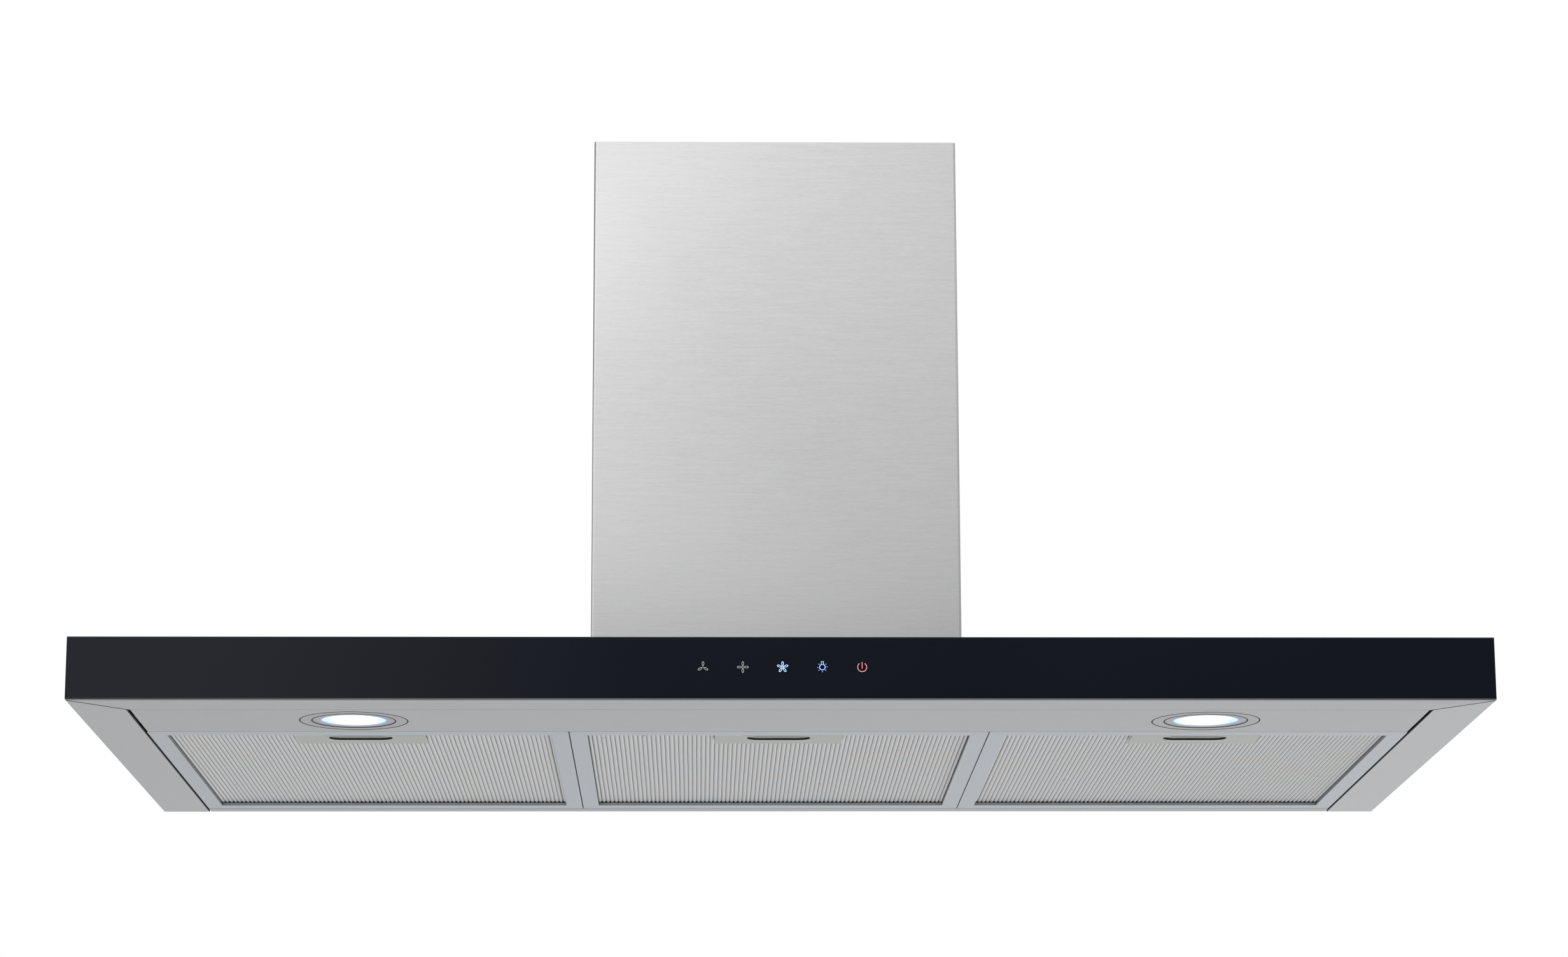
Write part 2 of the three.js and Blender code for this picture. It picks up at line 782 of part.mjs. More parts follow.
// A sliding pad that shows through the finger slot, with a grip for the fingertips, the tongue in front
// and spring posts behind.
function filterLatch() {
  const padHalf = latchWidth / 2;
  const pad = block(-padHalf, padHalf, padFront, latchRear, padBase, latchTop);
  const neck = block(-padHalf, padHalf, latchFront, latchRear, tongueBase, latchTop);
  const tongueHalf = tongueWidth / 2;
  const tongue = block(-tongueHalf, tongueHalf, panelRear + seatGap, latchFront + 1, tongueBase, latchTop);
  const posts = [-1, 1].map((side) => {
    const postRear = latchRear + latchPost;
    const post = block(-springRadius, springRadius, latchRear - 1, postRear, padBase, latchTop);
    return post.translate(side * springX, 0, 0);
  });
  const gripHalf = gripLength / 2;
  const gripTop = latchTop - gripRoof;
  const grip = block(-gripHalf, gripHalf, slotFront, slotFront + gripDepth, padBase - 1, gripTop);
  return carve([pad, neck, tongue, ...posts], [grip]);
}

// A coil return spring between the latch and the rear of its guide.
function filterSpring() {
  const points = [];
  const perTurn = 6;
  const steps = springTurns * perTurn;
  for (let i = 0; i <= steps; i++) {
    const angle = (i / perTurn) * 2 * Math.PI;
    const reach = springRadius - springWire / 2;
    const y = springWire / 2 + ((springLength - springWire) * i) / steps;
    points.push(new THREE.Vector3(reach * Math.cos(angle), y, reach * Math.sin(angle)));
  }
  const section = new THREE.Shape();
  section.absarc(0, 0, springWire / 2, 0, 2 * Math.PI);
  return new THREE.ExtrudeGeometry(section, {
    steps,
    bevelEnabled: false,
    extrudePath: new THREE.CatmullRomCurve3(points),
    curveSegments: 2,
  });
}

// ---------- chimney ----------
// Channel section in XY: front at y = -depth, rear edges folded inwards, wall of constant thickness.
function channel(width, depth, wall, bend, fold, setback) {
  const x = width / 2;
  const front = -depth;
  const rear = -setback;
  const inner = Math.max(bend - wall, 0.2);
  const shape = new THREE.Shape();
  shape.moveTo(x - fold, rear);
  shape.lineTo(x - fold, rear - wall);
  shape.lineTo(x - wall, rear - wall);
  shape.lineTo(x - wall, front + wall + inner);
  shape.absarc(x - wall - inner, front + wall + inner, inner, 0, -Math.PI / 2, true);
  shape.lineTo(-x + wall + inner, front + wall);
  shape.absarc(-x + wall + inner, front + wall + inner, inner, -Math.PI / 2, -Math.PI, true);
  shape.lineTo(-x + wall, rear - wall);
  shape.lineTo(-x + fold, rear - wall);
  shape.lineTo(-x + fold, rear);
  shape.lineTo(-x, rear);
  shape.lineTo(-x, front + bend);
  shape.absarc(-x + bend, front + bend, bend, Math.PI, 1.5 * Math.PI);
  shape.lineTo(x - bend, front);
  shape.absarc(x - bend, front + bend, bend, -Math.PI / 2, 0);
  shape.lineTo(x, rear);
  return shape;
}

const upperBase = canopyHeight + seatGap;
const upperTop = chimneyTop - upperTopGap;

function lowerChimney() {
  const section = channel(chimneyWidth, chimneyDepth, chimneySheet, chimneyBend, chimneyReturn, 0);
  return raise(section, canopyHeight + seatGap, chimneyTop, 5);
}

function upperChimney() {
  const section = channel(upperWidth, upperDepth, upperSheet, chimneyBend, upperReturn, upperSetback);
  const wall = raise(section, upperBase, upperTop, 5);
  const cuts = [];
  for (let row = 0; row < ventRows; row++) {
    const z = upperTop - ventTopMargin - row * ventPitch;
    for (let column = 0; column < ventColumns; column++) {
      const y = -upperDepth / 2 + (column - (ventColumns - 1) / 2) * ventColumnPitch;
      const vent = raise(stadium(ventLength, ventWidth), -upperWidth, upperWidth, 2);
      vent.applyMatrix4(new THREE.Matrix4().set(0, 0, 1, 0, 1, 0, 0, 0, 0, 1, 0, 0, 0, 0, 0, 1));
      cuts.push(vent.translate(0, y, z));
    }
  }
  return carve([wall], cuts);
}

// Strip on the wall whose forward ears guide the folded edges of the upper cover.
function chimneyBracket() {
  const half = upperWidth / 2 - upperReturn - seatGap;
  const zTop = chimneyTop - bracketTopMargin;
  const zBottom = zTop - bracketHeight;
  const added = [block(-half, half, -bracketSheet, 0, zBottom, zTop)];
  for (const side of [-1, 1]) {
    const x = side * (half - bracketSheet / 2);
    added.push(block(x - bracketSheet / 2, x + bracketSheet / 2, -bracketEar, 0, zBottom, zTop));
  }
  const holes = [-1, 1].map((side) => {
    const hole = raise(stadium(4 * bracketHole, 2 * bracketHole), -1, bracketSheet + 1, 6);
    return hole.rotateX(Math.PI / 2).translate((side * bracketHolePitch) / 2, 0, (zTop + zBottom) / 2);
  });
  return carve(added, holes);
}

// ---------- motor box ----------
function motorBox() {
  const half = boxWidth / 2;
  const outer = block(-half, half, -boxDepth, 0, boxBase, boxTop);
  const hollow = block(
    -half + boxSheet,
    half - boxSheet,
    -boxDepth + boxSheet,
    -boxSheet,
    boxBase - 1,
    boxTop - boxSheet,
  );
  const flangeRear = -upperSetback - upperSheet - upperClearance;
  const flange = block(
    -half - boxFlange,
    half + boxFlange,
    -boxDepth - boxFlange,
    flangeRear,
    boxBase,
    boxBase + boxSheet,
  );
  const outlet = rod(collarRadius - collarWall, boxTop - 2 * boxSheet, boxTop + 1, largeRound);
  const removed = [hollow, outlet.translate(0, -collarForward, 0)];
  for (const side of [-1, 1]) {
    const head = rod(keyholeHead, -2, 2 * boxSheet, smallRound);
    const slot = block(-keyholeSlot, keyholeSlot, 0, keyholeRise, -2, 2 * boxSheet);
    const tip = rod(keyholeSlot, -2, 2 * boxSheet, smallRound).translate(0, keyholeRise, 0);
    for (const cut of [head, slot, tip]) {
      removed.push(cut.rotateX(Math.PI / 2).translate(side * keyholeX, 0, boxTop - keyholeTop));
    }
  }
  return carve([outer, flange], removed);
}

// ---------- blower ----------
const scrollHalf = impellerWidth / 2 + scrollInset + scrollWall;
const scrollStart = impellerRadius + scrollClearance;
const scrollTop = boxTop - boxSheet - seatGap - blowerHeight;
const scrollFirst = Math.atan2(outletOffset, scrollStart);
const scrollSpan = 1.5 * Math.PI + scrollFirst;
const scrollFrontGrowth = (scrollGrowth * (Math.PI / 2 + scrollFirst)) / scrollSpan;
const scrollFront = scrollStart + scrollFrontGrowth + scrollWall + scrollFlange;
const blowerForward = boxDepth - boxSheet - blowerFrontGap - scrollFront; // axis in front of the wall
const collarForward = blowerForward - collarOffset;

// Outline in YZ about the blower axis: a spiral from the tongue over the front and the bottom to the
// rear, then straight up to the outlet.
function scrollOutline(offset) {
  const shape = new THREE.Shape();
  for (let i = 0; i <= scrollSteps; i++) {
    const angle = -scrollFirst + (scrollSpan * i) / scrollSteps;
    const radius = scrollStart + (scrollGrowth * i) / scrollSteps + offset;
    const y = -radius * Math.sin(angle);
    const z = radius * Math.cos(angle);
    if (i === 0) shape.moveTo(outletOffset - offset, scrollTop);
    shape.lineTo(i === 0 ? outletOffset - offset : y, z);
  }
  shape.lineTo(scrollStart + scrollGrowth + offset, scrollTop);
  return shape;
}

// One half of the volute: a side plate with a rolled inlet and half of the wrap, with a joining flange.
function voluteHalf(side) {
  const outer = runAlongX(scrollOutline(scrollWall), seatGap / 2, scrollHalf);
  const inner = runAlongX(scrollOutline(0), -1, scrollHalf - scrollWall);
  const rim = runAlongX(scrollOutline(scrollWall + scrollFlange), seatGap / 2, scrollWall);
  const keep = block(0, scrollHalf, -blowerForward, blowerForward, -blowerHeight, scrollTop);
  const inlet = rod(inletRadius, scrollHalf - 2 * scrollWall, scrollHalf + inletLip + 1, largeRound);
  inlet.rotateY(Math.PI / 2);
  const lip = turn([
    [inletRadius, scrollHalf - scrollWall],
    [inletRadius + scrollWall, scrollHalf - scrollWall],
    [inletRadius + scrollWall + lipFlare, scrollHalf + inletLip],
    [inletRadius + lipFlare, scrollHalf + inletLip],
  ]).rotateY(Math.PI / 2);
  const shell = toSolid(outer)
    .add(toSolid(rim))
    .subtract(toSolid(inner))
    .intersect(toSolid(keep))
    .subtract(toSolid(inlet))
    .add(toSolid(lip));
  const geometry = toGeometry(shell);
  if (side < 0) geometry.rotateZ(Math.PI).scale(1, -1, 1);
  return side < 0 ? flipped(geometry) : geometry;
}

// Turns the faces of a mirrored geometry outwards again.
function flipped(geometry) {
  const position = geometry.attributes.position;
  for (let i = 0; i < position.count; i += 3) {
    const a = new THREE.Vector3().fromBufferAttribute(position, i);
    const b = new THREE.Vector3().fromBufferAttribute(position, i + 1);
    position.setXYZ(i, b.x, b.y, b.z);
    position.setXYZ(i + 1, a.x, a.y, a.z);
  }
  return geometry;
}

// One forward-curved blade, an arc of even thickness in XY.
function bladeShape() {
  const shape = new THREE.Shape();
  const rim = impellerRadius - bladeSetIn;
  const root = impellerBore + bladeSetIn;
  const points = [];
  for (let i = 0; i <= bladeSegments; i++) {
    const t = i / bladeSegments;
    const bow = bladeCamber * 4 * t * (1 - t);
    points.push([root + (rim - root) * t, bow + bladeLead * t]);
  }
  const half = bladeThickness / 2;
  points.forEach(([x, y], i) => (i ? shape.lineTo(x, y + half) : shape.moveTo(x, y + half)));
  points.reverse().forEach(([x, y]) => shape.lineTo(x, y - half));
  return shape;
}

function impeller() {
  const half = impellerWidth / 2;
  const bladeBar = toSolid(raise(bladeShape(), -half + impellerRing / 2, half - impellerRing / 2));
  let wheel = null;
  for (let i = 0; i < bladeCount; i++) {
    const blade = bladeBar.rotate([0, 0, (360 * i) / bladeCount]);
    wheel = wheel ? wheel.add(blade) : blade;
  }
  const ringProfile = (z) => [
    [impellerBore, z],
    [impellerRadius, z],
    [impellerRadius, z + impellerRing],
    [impellerBore, z + impellerRing],
  ];
  const bore = shaftRadius + runningGap;
  const disc = turn([
    [bore, -hubLength / 2],
    [hubRadius, -hubLength / 2],
    [hubRadius, -impellerDisc / 2],
    [impellerBore + 3, -impellerDisc / 2],
    [impellerBore + 3, impellerDisc / 2],
    [hubRadius, impellerDisc / 2],
    [hubRadius, hubLength / 2],
    [bore, hubLength / 2],
  ], bladeCount);
  const rings = [-half, half - impellerRing].map((z) => turn(ringProfile(z), bladeCount));
  for (const extra of [...rings, disc]) wheel = wheel.add(toSolid(extra));
  return toGeometry(wheel).rotateY(Math.PI / 2);
}

const motorRight = -hubLength / 2 - hubGap;
const motorLeft = motorRight - motorLength;

function motorShaft() {
  const end = hubLength / 2 + hubGap;
  const collar = end - shaftCollar;
  return turn([
    [0, motorRight - motorSocket],
    [shaftRadius, motorRight - motorSocket],
    [shaftRadius, collar],
    [shaftRadius + shaftCollarStep, collar],
    [shaftRadius + shaftCollarStep, end],
    [0, end],
  ], middleRound).rotateY(Math.PI / 2);
}

function motor() {
  const socket = shaftRadius + runningGap;
  return turn([
    [0, motorLeft],
    [motorRadius - motorEdge, motorLeft],
    [motorRadius, motorLeft + motorEdge],
    [motorRadius, motorRight - motorShoulder],
    [motorRadius - motorShoulder, motorRight - motorNose],
    [socket + motorShoulder, motorRight - motorNose],
    [socket + motorShoulder, motorRight],
    [socket, motorRight],
    [socket, motorRight - motorSocket - 1],
    [0, motorRight - motorSocket - 1],
  ], middleRound).rotateY(Math.PI / 2);
}

// Ring and three arms that hold the motor in the left inlet.
function motorBracket() {
  const right = motorLeft - seatGap;
  const left = right - armThickness;
  const ringOuter = inletRadius + scrollWall + bracketRing;
  const seat = -scrollHalf - inletLip - seatGap;
  const plate = turn([
    [0, left],
    [motorRadius - motorShoulder, left],
    [motorRadius - motorShoulder, right],
    [0, right],
  ], middleRound);
  const ring = turn([
    [inletRadius, seat - armThickness],
    [ringOuter, seat - armThickness],
    [ringOuter, seat],
    [inletRadius, seat],
  ]);
  const added = [plate, ring];
  for (let i = 0; i < bracketArms; i++) {
    const root = motorRadius - armRootInset;
    const legInner = inletRadius + scrollWall;
    const legOuter = legInner + armThickness;
    const arm = block(root, legOuter, -armWidth / 2, armWidth / 2, left, left + armThickness);
    const leg = block(
      legInner,
      legOuter,
      -armWidth / 2,
      armWidth / 2,
      Math.min(left, seat - armThickness),
      Math.max(left + armThickness, seat),
    );
    const angle = (i / bracketArms) * 2 * Math.PI + bracketTurn * rad;
    added.push(arm.rotateZ(angle), leg.rotateZ(angle));
  }
  return carve(added).rotateY(Math.PI / 2);
}

function capacitor() {
  const end = capacitorLength;
  return turn([
    [0, 0],
    [capacitorRadius - capacitorEdge, 0],
    [capacitorRadius, capacitorEdge],
    [capacitorRadius, end - capacitorEdge],
    [capacitorRadius - capacitorEdge, end],
    [capacitorStud, end],
    [capacitorStud, end + capacitorStudLength],
    [0, end + capacitorStudLength],
  ], middleRound);
}

// ---------- outlet collar and damper ----------
const collarBase = boxTop + seatGap;
const collarInner = collarRadius - collarWall;
const pinZ = collarBase + ledgeTop + seatGap + pinRadius + runningGap + knuckleWall;
const knuckleRadius = pinRadius + runningGap + knuckleWall;

function outletCollar() {
  const z = collarBase;
  const top = z + collarHeight;
  const tube = turn([
    [collarInner, z],
    [collarFlangeRadius, z],
    [collarFlangeRadius, z + collarFlange],
    [collarRadius + collarFillet, z + collarFlange],
    [collarRadius, z + collarFlange + collarFillet],
    [collarRadius - collarTaper, top],
    [collarRadius - collarTaper - collarWall, top],
    [collarInner, z + ledgeTop],
    [collarInner - ledgeWidth, z + ledgeTop],
    [collarInner - ledgeWidth, z + ledgeTop - ledgeHeight],
    [collarInner, z + ledgeTop - ledgeHeight - collarFillet],
  ]);
  const hole = rod(pinRadius + seatGap / 2, -collarRadius - 3, collarRadius + 3, smallRound);
  return carve([tube], [hole.rotateY(Math.PI / 2).translate(0, 0, pinZ)]);
}

function damperPin() {
  return rod(pinRadius, -collarRadius, collarRadius, smallRound).rotateY(Math.PI / 2);
}

// A half disc that hangs on knuckles round the pin. It lies on the ledge when shut.
function damperFlap(direction) {
  const radius = collarInner - flapClearance;
  const low = -knuckleRadius;
  const start = knuckleRadius + 1;
  const edge = Math.asin(start / radius);
  const half = new THREE.Shape();
  half.moveTo(radius * Math.cos(edge), start);
  half.absarc(0, 0, radius, edge, Math.PI - edge);
  const added = [raise(half, low, low + flapThickness, largeRound / 2)];
  const bores = [];
  const reach = radius * knuckleReach;
  const cell = (2 * reach) / knuckleCells;
  for (let i = 0; i < knuckleCells; i += 2) {
    const x0 = -reach + i * cell + knuckleGap / 2;
    const x1 = x0 + cell - knuckleGap;
    added.push(rod(knuckleRadius, x0, x1, smallRound).rotateY(Math.PI / 2));
    added.push(block(x0, x1, 0, start + flapThickness, low, low + flapThickness));
    bores.push(rod(pinRadius + runningGap, x0 - 1, x1 + 1, smallRound).rotateY(Math.PI / 2));
  }
  const geometry = carve(added, bores);
  return direction > 0 ? geometry : geometry.rotateZ(Math.PI);
}

// ---------- terminal box ----------
const terminalBase = boxTop + seatGap;
const terminalY = -(collarForward - collarFlangeRadius) / 2 - 1;

function terminalBox() {
  const [length, width, height] = terminalSize;
  const outer = raise(roundedRectangle(length, width, terminalCorner), 0, height, 3);
  const inner = raise(
    roundedRectangle(length - 2 * terminalWall, width - 2 * terminalWall, terminalCorner / 2),
    terminalWall,
    height + 1,
    2,
  );
  return carve([outer], [inner]);
}

function terminalCover() {
  const [length, width] = terminalSize;
  const plate = raise(roundedRectangle(length, width, terminalCorner), 0, terminalLid, 3);
  const plugRoom = 2 * (terminalWall + seatGap);
  const plugShape = roundedRectangle(length - plugRoom, width - plugRoom, terminalCorner / 2 - seatGap);
  const plug = raise(plugShape, -terminalPlug, 1, 1);
  const seat = rod(grommetRadius - grommetNeck + seatGap, -terminalPlug - 1, terminalLid + 1);
  return carve([plate, plug], [seat.translate(length / 4, 0, 0)]);
}

function cableGrommet() {
  const neck = grommetRadius - grommetNeck;
  const top = terminalLid + grommetHeight;
  return turn([
    [0, -grommetDepth],
    [neck, -grommetDepth],
    [neck, seatGap + terminalLid],
    [grommetRadius, seatGap + terminalLid],
    [grommetRadius - grommetNeck, top],
    [grommetNeck, top],
    [0, top - grommetDimple],
  ], middleRound);
}

// ---------- assembly ----------
const hood = new THREE.Group();
hood.position.z = -canopyHeight / 2;

const canopy = new THREE.Group();
canopy.add(
  piece("canopy_shell", canopyShell(), steel),
  piece("rear_rim", rearRim(), steel),
  piece("light_panel", lightPanel(), steel),
  piece("front_glass", frontGlass(), blackGlass),
  piece("touch_board", touchBoard(), boardGreen),
  piece("touch_housing", touchHousing(), blackPlastic),
);
const driverY = panelRear - sheet - seatGap - driverSize[1] / 2;
canopy.add(piece("lamp_driver", lampDriver(), whitePlastic, driverX, driverY, sheet + seatGap));
for (const [side, label] of [[-1, "left"], [1, "right"]]) {
  const lamp = new THREE.Group();
  lamp.position.set(side * lampX, lampY, 0);
  lamp.add(
    piece(`lamp_trim_${label}`, lampTrim(), steelDark),
    piece(`lamp_ring_${label}`, lampRing(), steelDark),
    piece(`lamp_lens_${label}`, lampLens(), lampGlass),
    piece(`lamp_body_${label}`, lampBody(), aluminium),
  );
  canopy.add(lamp);
}

["left", "centre", "right"].slice(0, filterCount).forEach((label, i) => {
  const filter = new THREE.Group();
  filter.position.x = (i - (filterCount - 1) / 2) * filterPitch;
  const springZ = (tongueBase + latchTop) / 2;
  filter.add(
    piece(`filter_frame_${label}`, filterFrame(), aluminium),
    piece(`filter_mesh_${label}`, filterMesh(), aluminium),
    piece(`filter_handle_${label}`, filterHandle(), steel),
    piece(`filter_latch_${label}`, filterLatch(), steel),
    piece(`filter_spring_${label}`, filterSpring(), steel, springX, springFront, springZ),
  );
  canopy.add(filter);
});

const chimney = new THREE.Group();
chimney.add(
  piece("lower_chimney", lowerChimney(), steel),
  piece("upper_chimney", upperChimney(), steel),
  piece("chimney_bracket", chimneyBracket(), galvanised),
);

const blower = new THREE.Group();
blower.position.set(0, -blowerForward, blowerHeight);
blower.add(
  piece("volute_left", voluteHalf(-1), blackPlastic),
  piece("volute_right", voluteHalf(1), blackPlastic),
  piece("impeller", impeller(), greyPlastic),
  piece("motor_shaft", motorShaft(), steel),
  piece("motor", motor(), galvanised),
  piece("motor_bracket", motorBracket(), galvanised),
);
const capacitorX = boxWidth / 2 - boxSheet - seatGap - capacitorRadius;
const capacitorY = -boxDepth + boxSheet + seatGap + capacitorRadius;
const capacitorZ = boxTop - boxSheet - seatGap - capacitorLength - capacitorStudLength;
const outlet = new THREE.Group();
outlet.position.set(0, -collarForward, 0);
outlet.add(
  piece("outlet_collar", outletCollar(), blackPlastic),
  piece("damper_pin", damperPin(), steel, 0, 0, pinZ),
  piece("damper_flap_front", damperFlap(-1), greyPlastic, 0, 0, pinZ),
  piece("damper_flap_rear", damperFlap(1), greyPlastic, 0, 0, pinZ),
);
const terminal = new THREE.Group();
terminal.position.set(terminalX, terminalY, terminalBase);
const lidZ = terminalSize[2] + seatGap;
terminal.add(
  piece("terminal_box", terminalBox(), whitePlastic),
  piece("terminal_lid", terminalCover(), whitePlastic, 0, 0, lidZ),
  piece("cable_grommet", cableGrommet(), blackPlastic, terminalSize[0] / 4, 0, lidZ),
);
hood.add(
  canopy,
  chimney,
  piece("motor_box", motorBox(), galvanised),
  piece("capacitor", capacitor(), whitePlastic, capacitorX, capacitorY, capacitorZ),
  blower,
  outlet,
  terminal,
);

const rangeHood = new THREE.Group();
rangeHood.add(hood);
export default rangeHood;
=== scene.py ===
import math

import bmesh
import bpy
from mathutils import Matrix, Vector
from mathutils.bvhtree import BVHTree


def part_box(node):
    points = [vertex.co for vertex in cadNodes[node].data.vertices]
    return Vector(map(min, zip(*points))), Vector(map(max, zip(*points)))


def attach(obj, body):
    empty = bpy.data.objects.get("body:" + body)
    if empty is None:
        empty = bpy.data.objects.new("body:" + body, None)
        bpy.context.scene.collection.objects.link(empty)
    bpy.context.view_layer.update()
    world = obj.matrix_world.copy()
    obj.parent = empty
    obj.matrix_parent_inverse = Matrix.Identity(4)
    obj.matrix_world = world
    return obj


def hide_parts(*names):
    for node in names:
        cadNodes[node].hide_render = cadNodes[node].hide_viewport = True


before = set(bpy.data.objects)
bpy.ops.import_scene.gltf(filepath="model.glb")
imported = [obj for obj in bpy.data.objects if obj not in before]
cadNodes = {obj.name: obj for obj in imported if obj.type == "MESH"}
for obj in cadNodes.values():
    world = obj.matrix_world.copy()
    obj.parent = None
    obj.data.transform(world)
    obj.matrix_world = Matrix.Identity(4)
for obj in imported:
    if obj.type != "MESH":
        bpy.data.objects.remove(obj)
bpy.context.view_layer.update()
scene = bpy.context.scene
mm = 0.001
print("frame loaded:", len(cadNodes), "nodes")


def centreOf(node):
    low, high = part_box(node)
    return (low + high) / 2


cameraView = {
    "place": (-0.0532, -3.0003, -0.4549),
    "yaw": 1.234,  # degrees to the right of the wall's normal
    "pitch": 12.946,  # degrees upwards
    "roll": -0.188,
    "lens": 93.015,
    "sensor": 36.0,
}


def addCamera():
    yaw, pitch, roll = [math.radians(cameraView[key]) for key in ("yaw", "pitch", "roll")]
    ahead = Vector((math.sin(yaw) * math.cos(pitch), math.cos(yaw) * math.cos(pitch), math.sin(pitch)))
    level = Vector((math.cos(yaw), -math.sin(yaw), 0))
    upright = level.cross(ahead)
    right = level * math.cos(roll) + upright * math.sin(roll)
    up = upright * math.cos(roll) - level * math.sin(roll)
    data = bpy.data.cameras.new("camera")
    data.lens = cameraView["lens"]
    data.sensor_fit = "HORIZONTAL"
    data.sensor_width = cameraView["sensor"]
    camera = bpy.data.objects.new("camera", data)
    turn = Matrix((right, up, -ahead)).transposed().to_4x4()
    camera.matrix_world = Matrix.Translation(cameraView["place"]) @ turn
    scene.collection.objects.link(camera)
    scene.camera = camera


def linear(hexText):  # an sRGB hex colour as linear RGBA
    parts = [int(hexText[i:i + 2], 16) / 255 for i in (1, 3, 5)]
    return [p / 12.92 if p <= 0.04045 else ((p + 0.055) / 1.055) ** 2.4 for p in parts] + [1]


def grey(value):
    return (value, value, value, 1)


# Adds a node with links or values for its inputs and stops for its ramp. Returns one output, or all for None.
def addNode(tree, kind, inputs=None, output=0, stops=(), **settings):
    node = tree.nodes.new(kind)
    for key, value in settings.items():
        setattr(node, key, value)
    for key, value in (inputs or {}).items():
        if isinstance(value, bpy.types.NodeSocket):
            tree.links.new(value, node.inputs[key])
        else:
            node.inputs[key].default_value = value
    for i, (place, colour) in enumerate(stops):
        elements = node.color_ramp.elements
        element = elements[i] if i < 2 else elements.new(place)
        element.position = place
        element.color = linear(colour) if isinstance(colour, str) else colour
    return node.outputs if output is None or not node.outputs else node.outputs[output]


# Soft random patches of the given size in mm along x, y and z.
def patches(tree, size, detail=2, roughness=0.5, shift=0):
    place = addNode(tree, "ShaderNodeTexCoord", output="Object")
    inputs = {"Vector": place, "Scale": [1 / (s * mm) for s in size], "Location": (shift, 0, 0)}
    place = addNode(tree, "ShaderNodeMapping", inputs)
    inputs = {"Vector": place, "Scale": 1, "Detail": detail, "Roughness": roughness}
    return addNode(tree, "ShaderNodeTexNoise", inputs)


def newMaterial(name, hexText, metallic, roughness, **sockets):
    material = bpy.data.materials.new(name)
    material.use_nodes = True
    tree = material.node_tree
    shader = tree.nodes["Principled BSDF"]
    values = {"Base Color": linear(hexText), "Metallic": metallic, "Roughness": roughness, **sockets}
    for key, value in values.items():
        shader.inputs[key].default_value = value
    return material, tree, shader


# Varies colour and roughness of a shader by a pattern, and raises it as a bump.
def vary(tree, shader, pattern, colour, roughness, bump=0.0, height=0.02):
    base = shader.inputs["Base Color"].default_value[:3]
    low = [c * (1 - colour) for c in base] + [1]
    high = [min(1, c * (1 + colour)) for c in base] + [1]
    tint = addNode(tree, "ShaderNodeMix", {0: pattern, 6: low, 7: high}, 2, data_type="RGBA")
    tree.links.new(tint, shader.inputs["Base Color"])
    rough = shader.inputs["Roughness"].default_value
    inputs = {"Value": pattern, "From Min": 0.3, "From Max": 0.7, "To Min": rough - roughness,
              "To Max": rough + roughness}
    tree.links.new(addNode(tree, "ShaderNodeMapRange", inputs), shader.inputs["Roughness"])
    if bump:
        inputs = {"Height": pattern, "Strength": bump, "Distance": height * mm}
        raised = addNode(tree, "ShaderNodeBump", inputs)
        tree.links.new(raised, shader.inputs["Normal"])


brush = {
    "width": 0.5,  # mm across the scratches, coarser than the real 0.1 so that they show
    "length": 5,
    "bandWidth": 1.2,
    "bandLength": 22,
    "bandShift": 3.7,  # so that the bands don't follow the scratches
    "bandShare": 0.35,
    "colour": 0.2,
    "roughness": 0.05,
    "bump": 0.05,
    "anisotropy": 0.6,
    # the axes along which the scratches are long, and the axis that the tangent turns about
    "directions": {"X": ((1, 0, 0), "Y"), "Y": ((0, 1, 0), "X"), "Level": ((1, 1, 0), "Z")},
}


# Brushed stainless steel: fine scratches along one direction spread its reflections across them.
def brushedStainless(direction, hexText, roughness):
    material, tree, shader = newMaterial("brushedStainless" + direction, hexText, 1, roughness)
    along, axis = brush["directions"][direction]
    fine = [brush["length"] if long else brush["width"] for long in along]
    band = [brush["bandLength"] if long else brush["bandWidth"] for long in along]
    scratches = patches(tree, fine, detail=3, roughness=0.65)
    bands = patches(tree, band, detail=1, shift=brush["bandShift"])
    both = addNode(tree, "ShaderNodeMix", {0: brush["bandShare"], 2: scratches, 3: bands})
    vary(tree, shader, both, brush["colour"], brush["roughness"], brush["bump"])
    shader.inputs["Anisotropic"].default_value = brush["anisotropy"]
    shader.inputs["Anisotropic Rotation"].default_value = 0.25  # a quarter turn: along the scratches
    tangent = addNode(tree, "ShaderNodeTangent", direction_type="RADIAL", axis=axis)
    tree.links.new(tangent, shader.inputs["Tangent"])
    return material


# Satin metal, rolled or stamped: an even soft sheen with a faint cloudiness, in patches of cloud mm.
def satinMetal(name, hexText, roughness, cloud=14):
    material, tree, shader = newMaterial(name, hexText, 1, roughness)
    vary(tree, shader, patches(tree, [cloud] * 3, detail=4), 0.03, 0.03)
    return material


meshFinishAndShade = {
    "strand": "#dadad9",
    "tints": ((0.3, "#d7d9db"), (0.5, "#dadad9"), (0.72, "#dcd9d6")),
    "tintSize": 30,
    "speck": "#3c3a38",
    "speckSpacing": 34,
    "speckSize": 0.03,  # of the spacing
    # painted shade: the grey that the folds darken to
    "fold": "#969798",
    "foldFrom": 1.6,  # from the middle of the mesh's height
    "foldTo": 1.1,
}
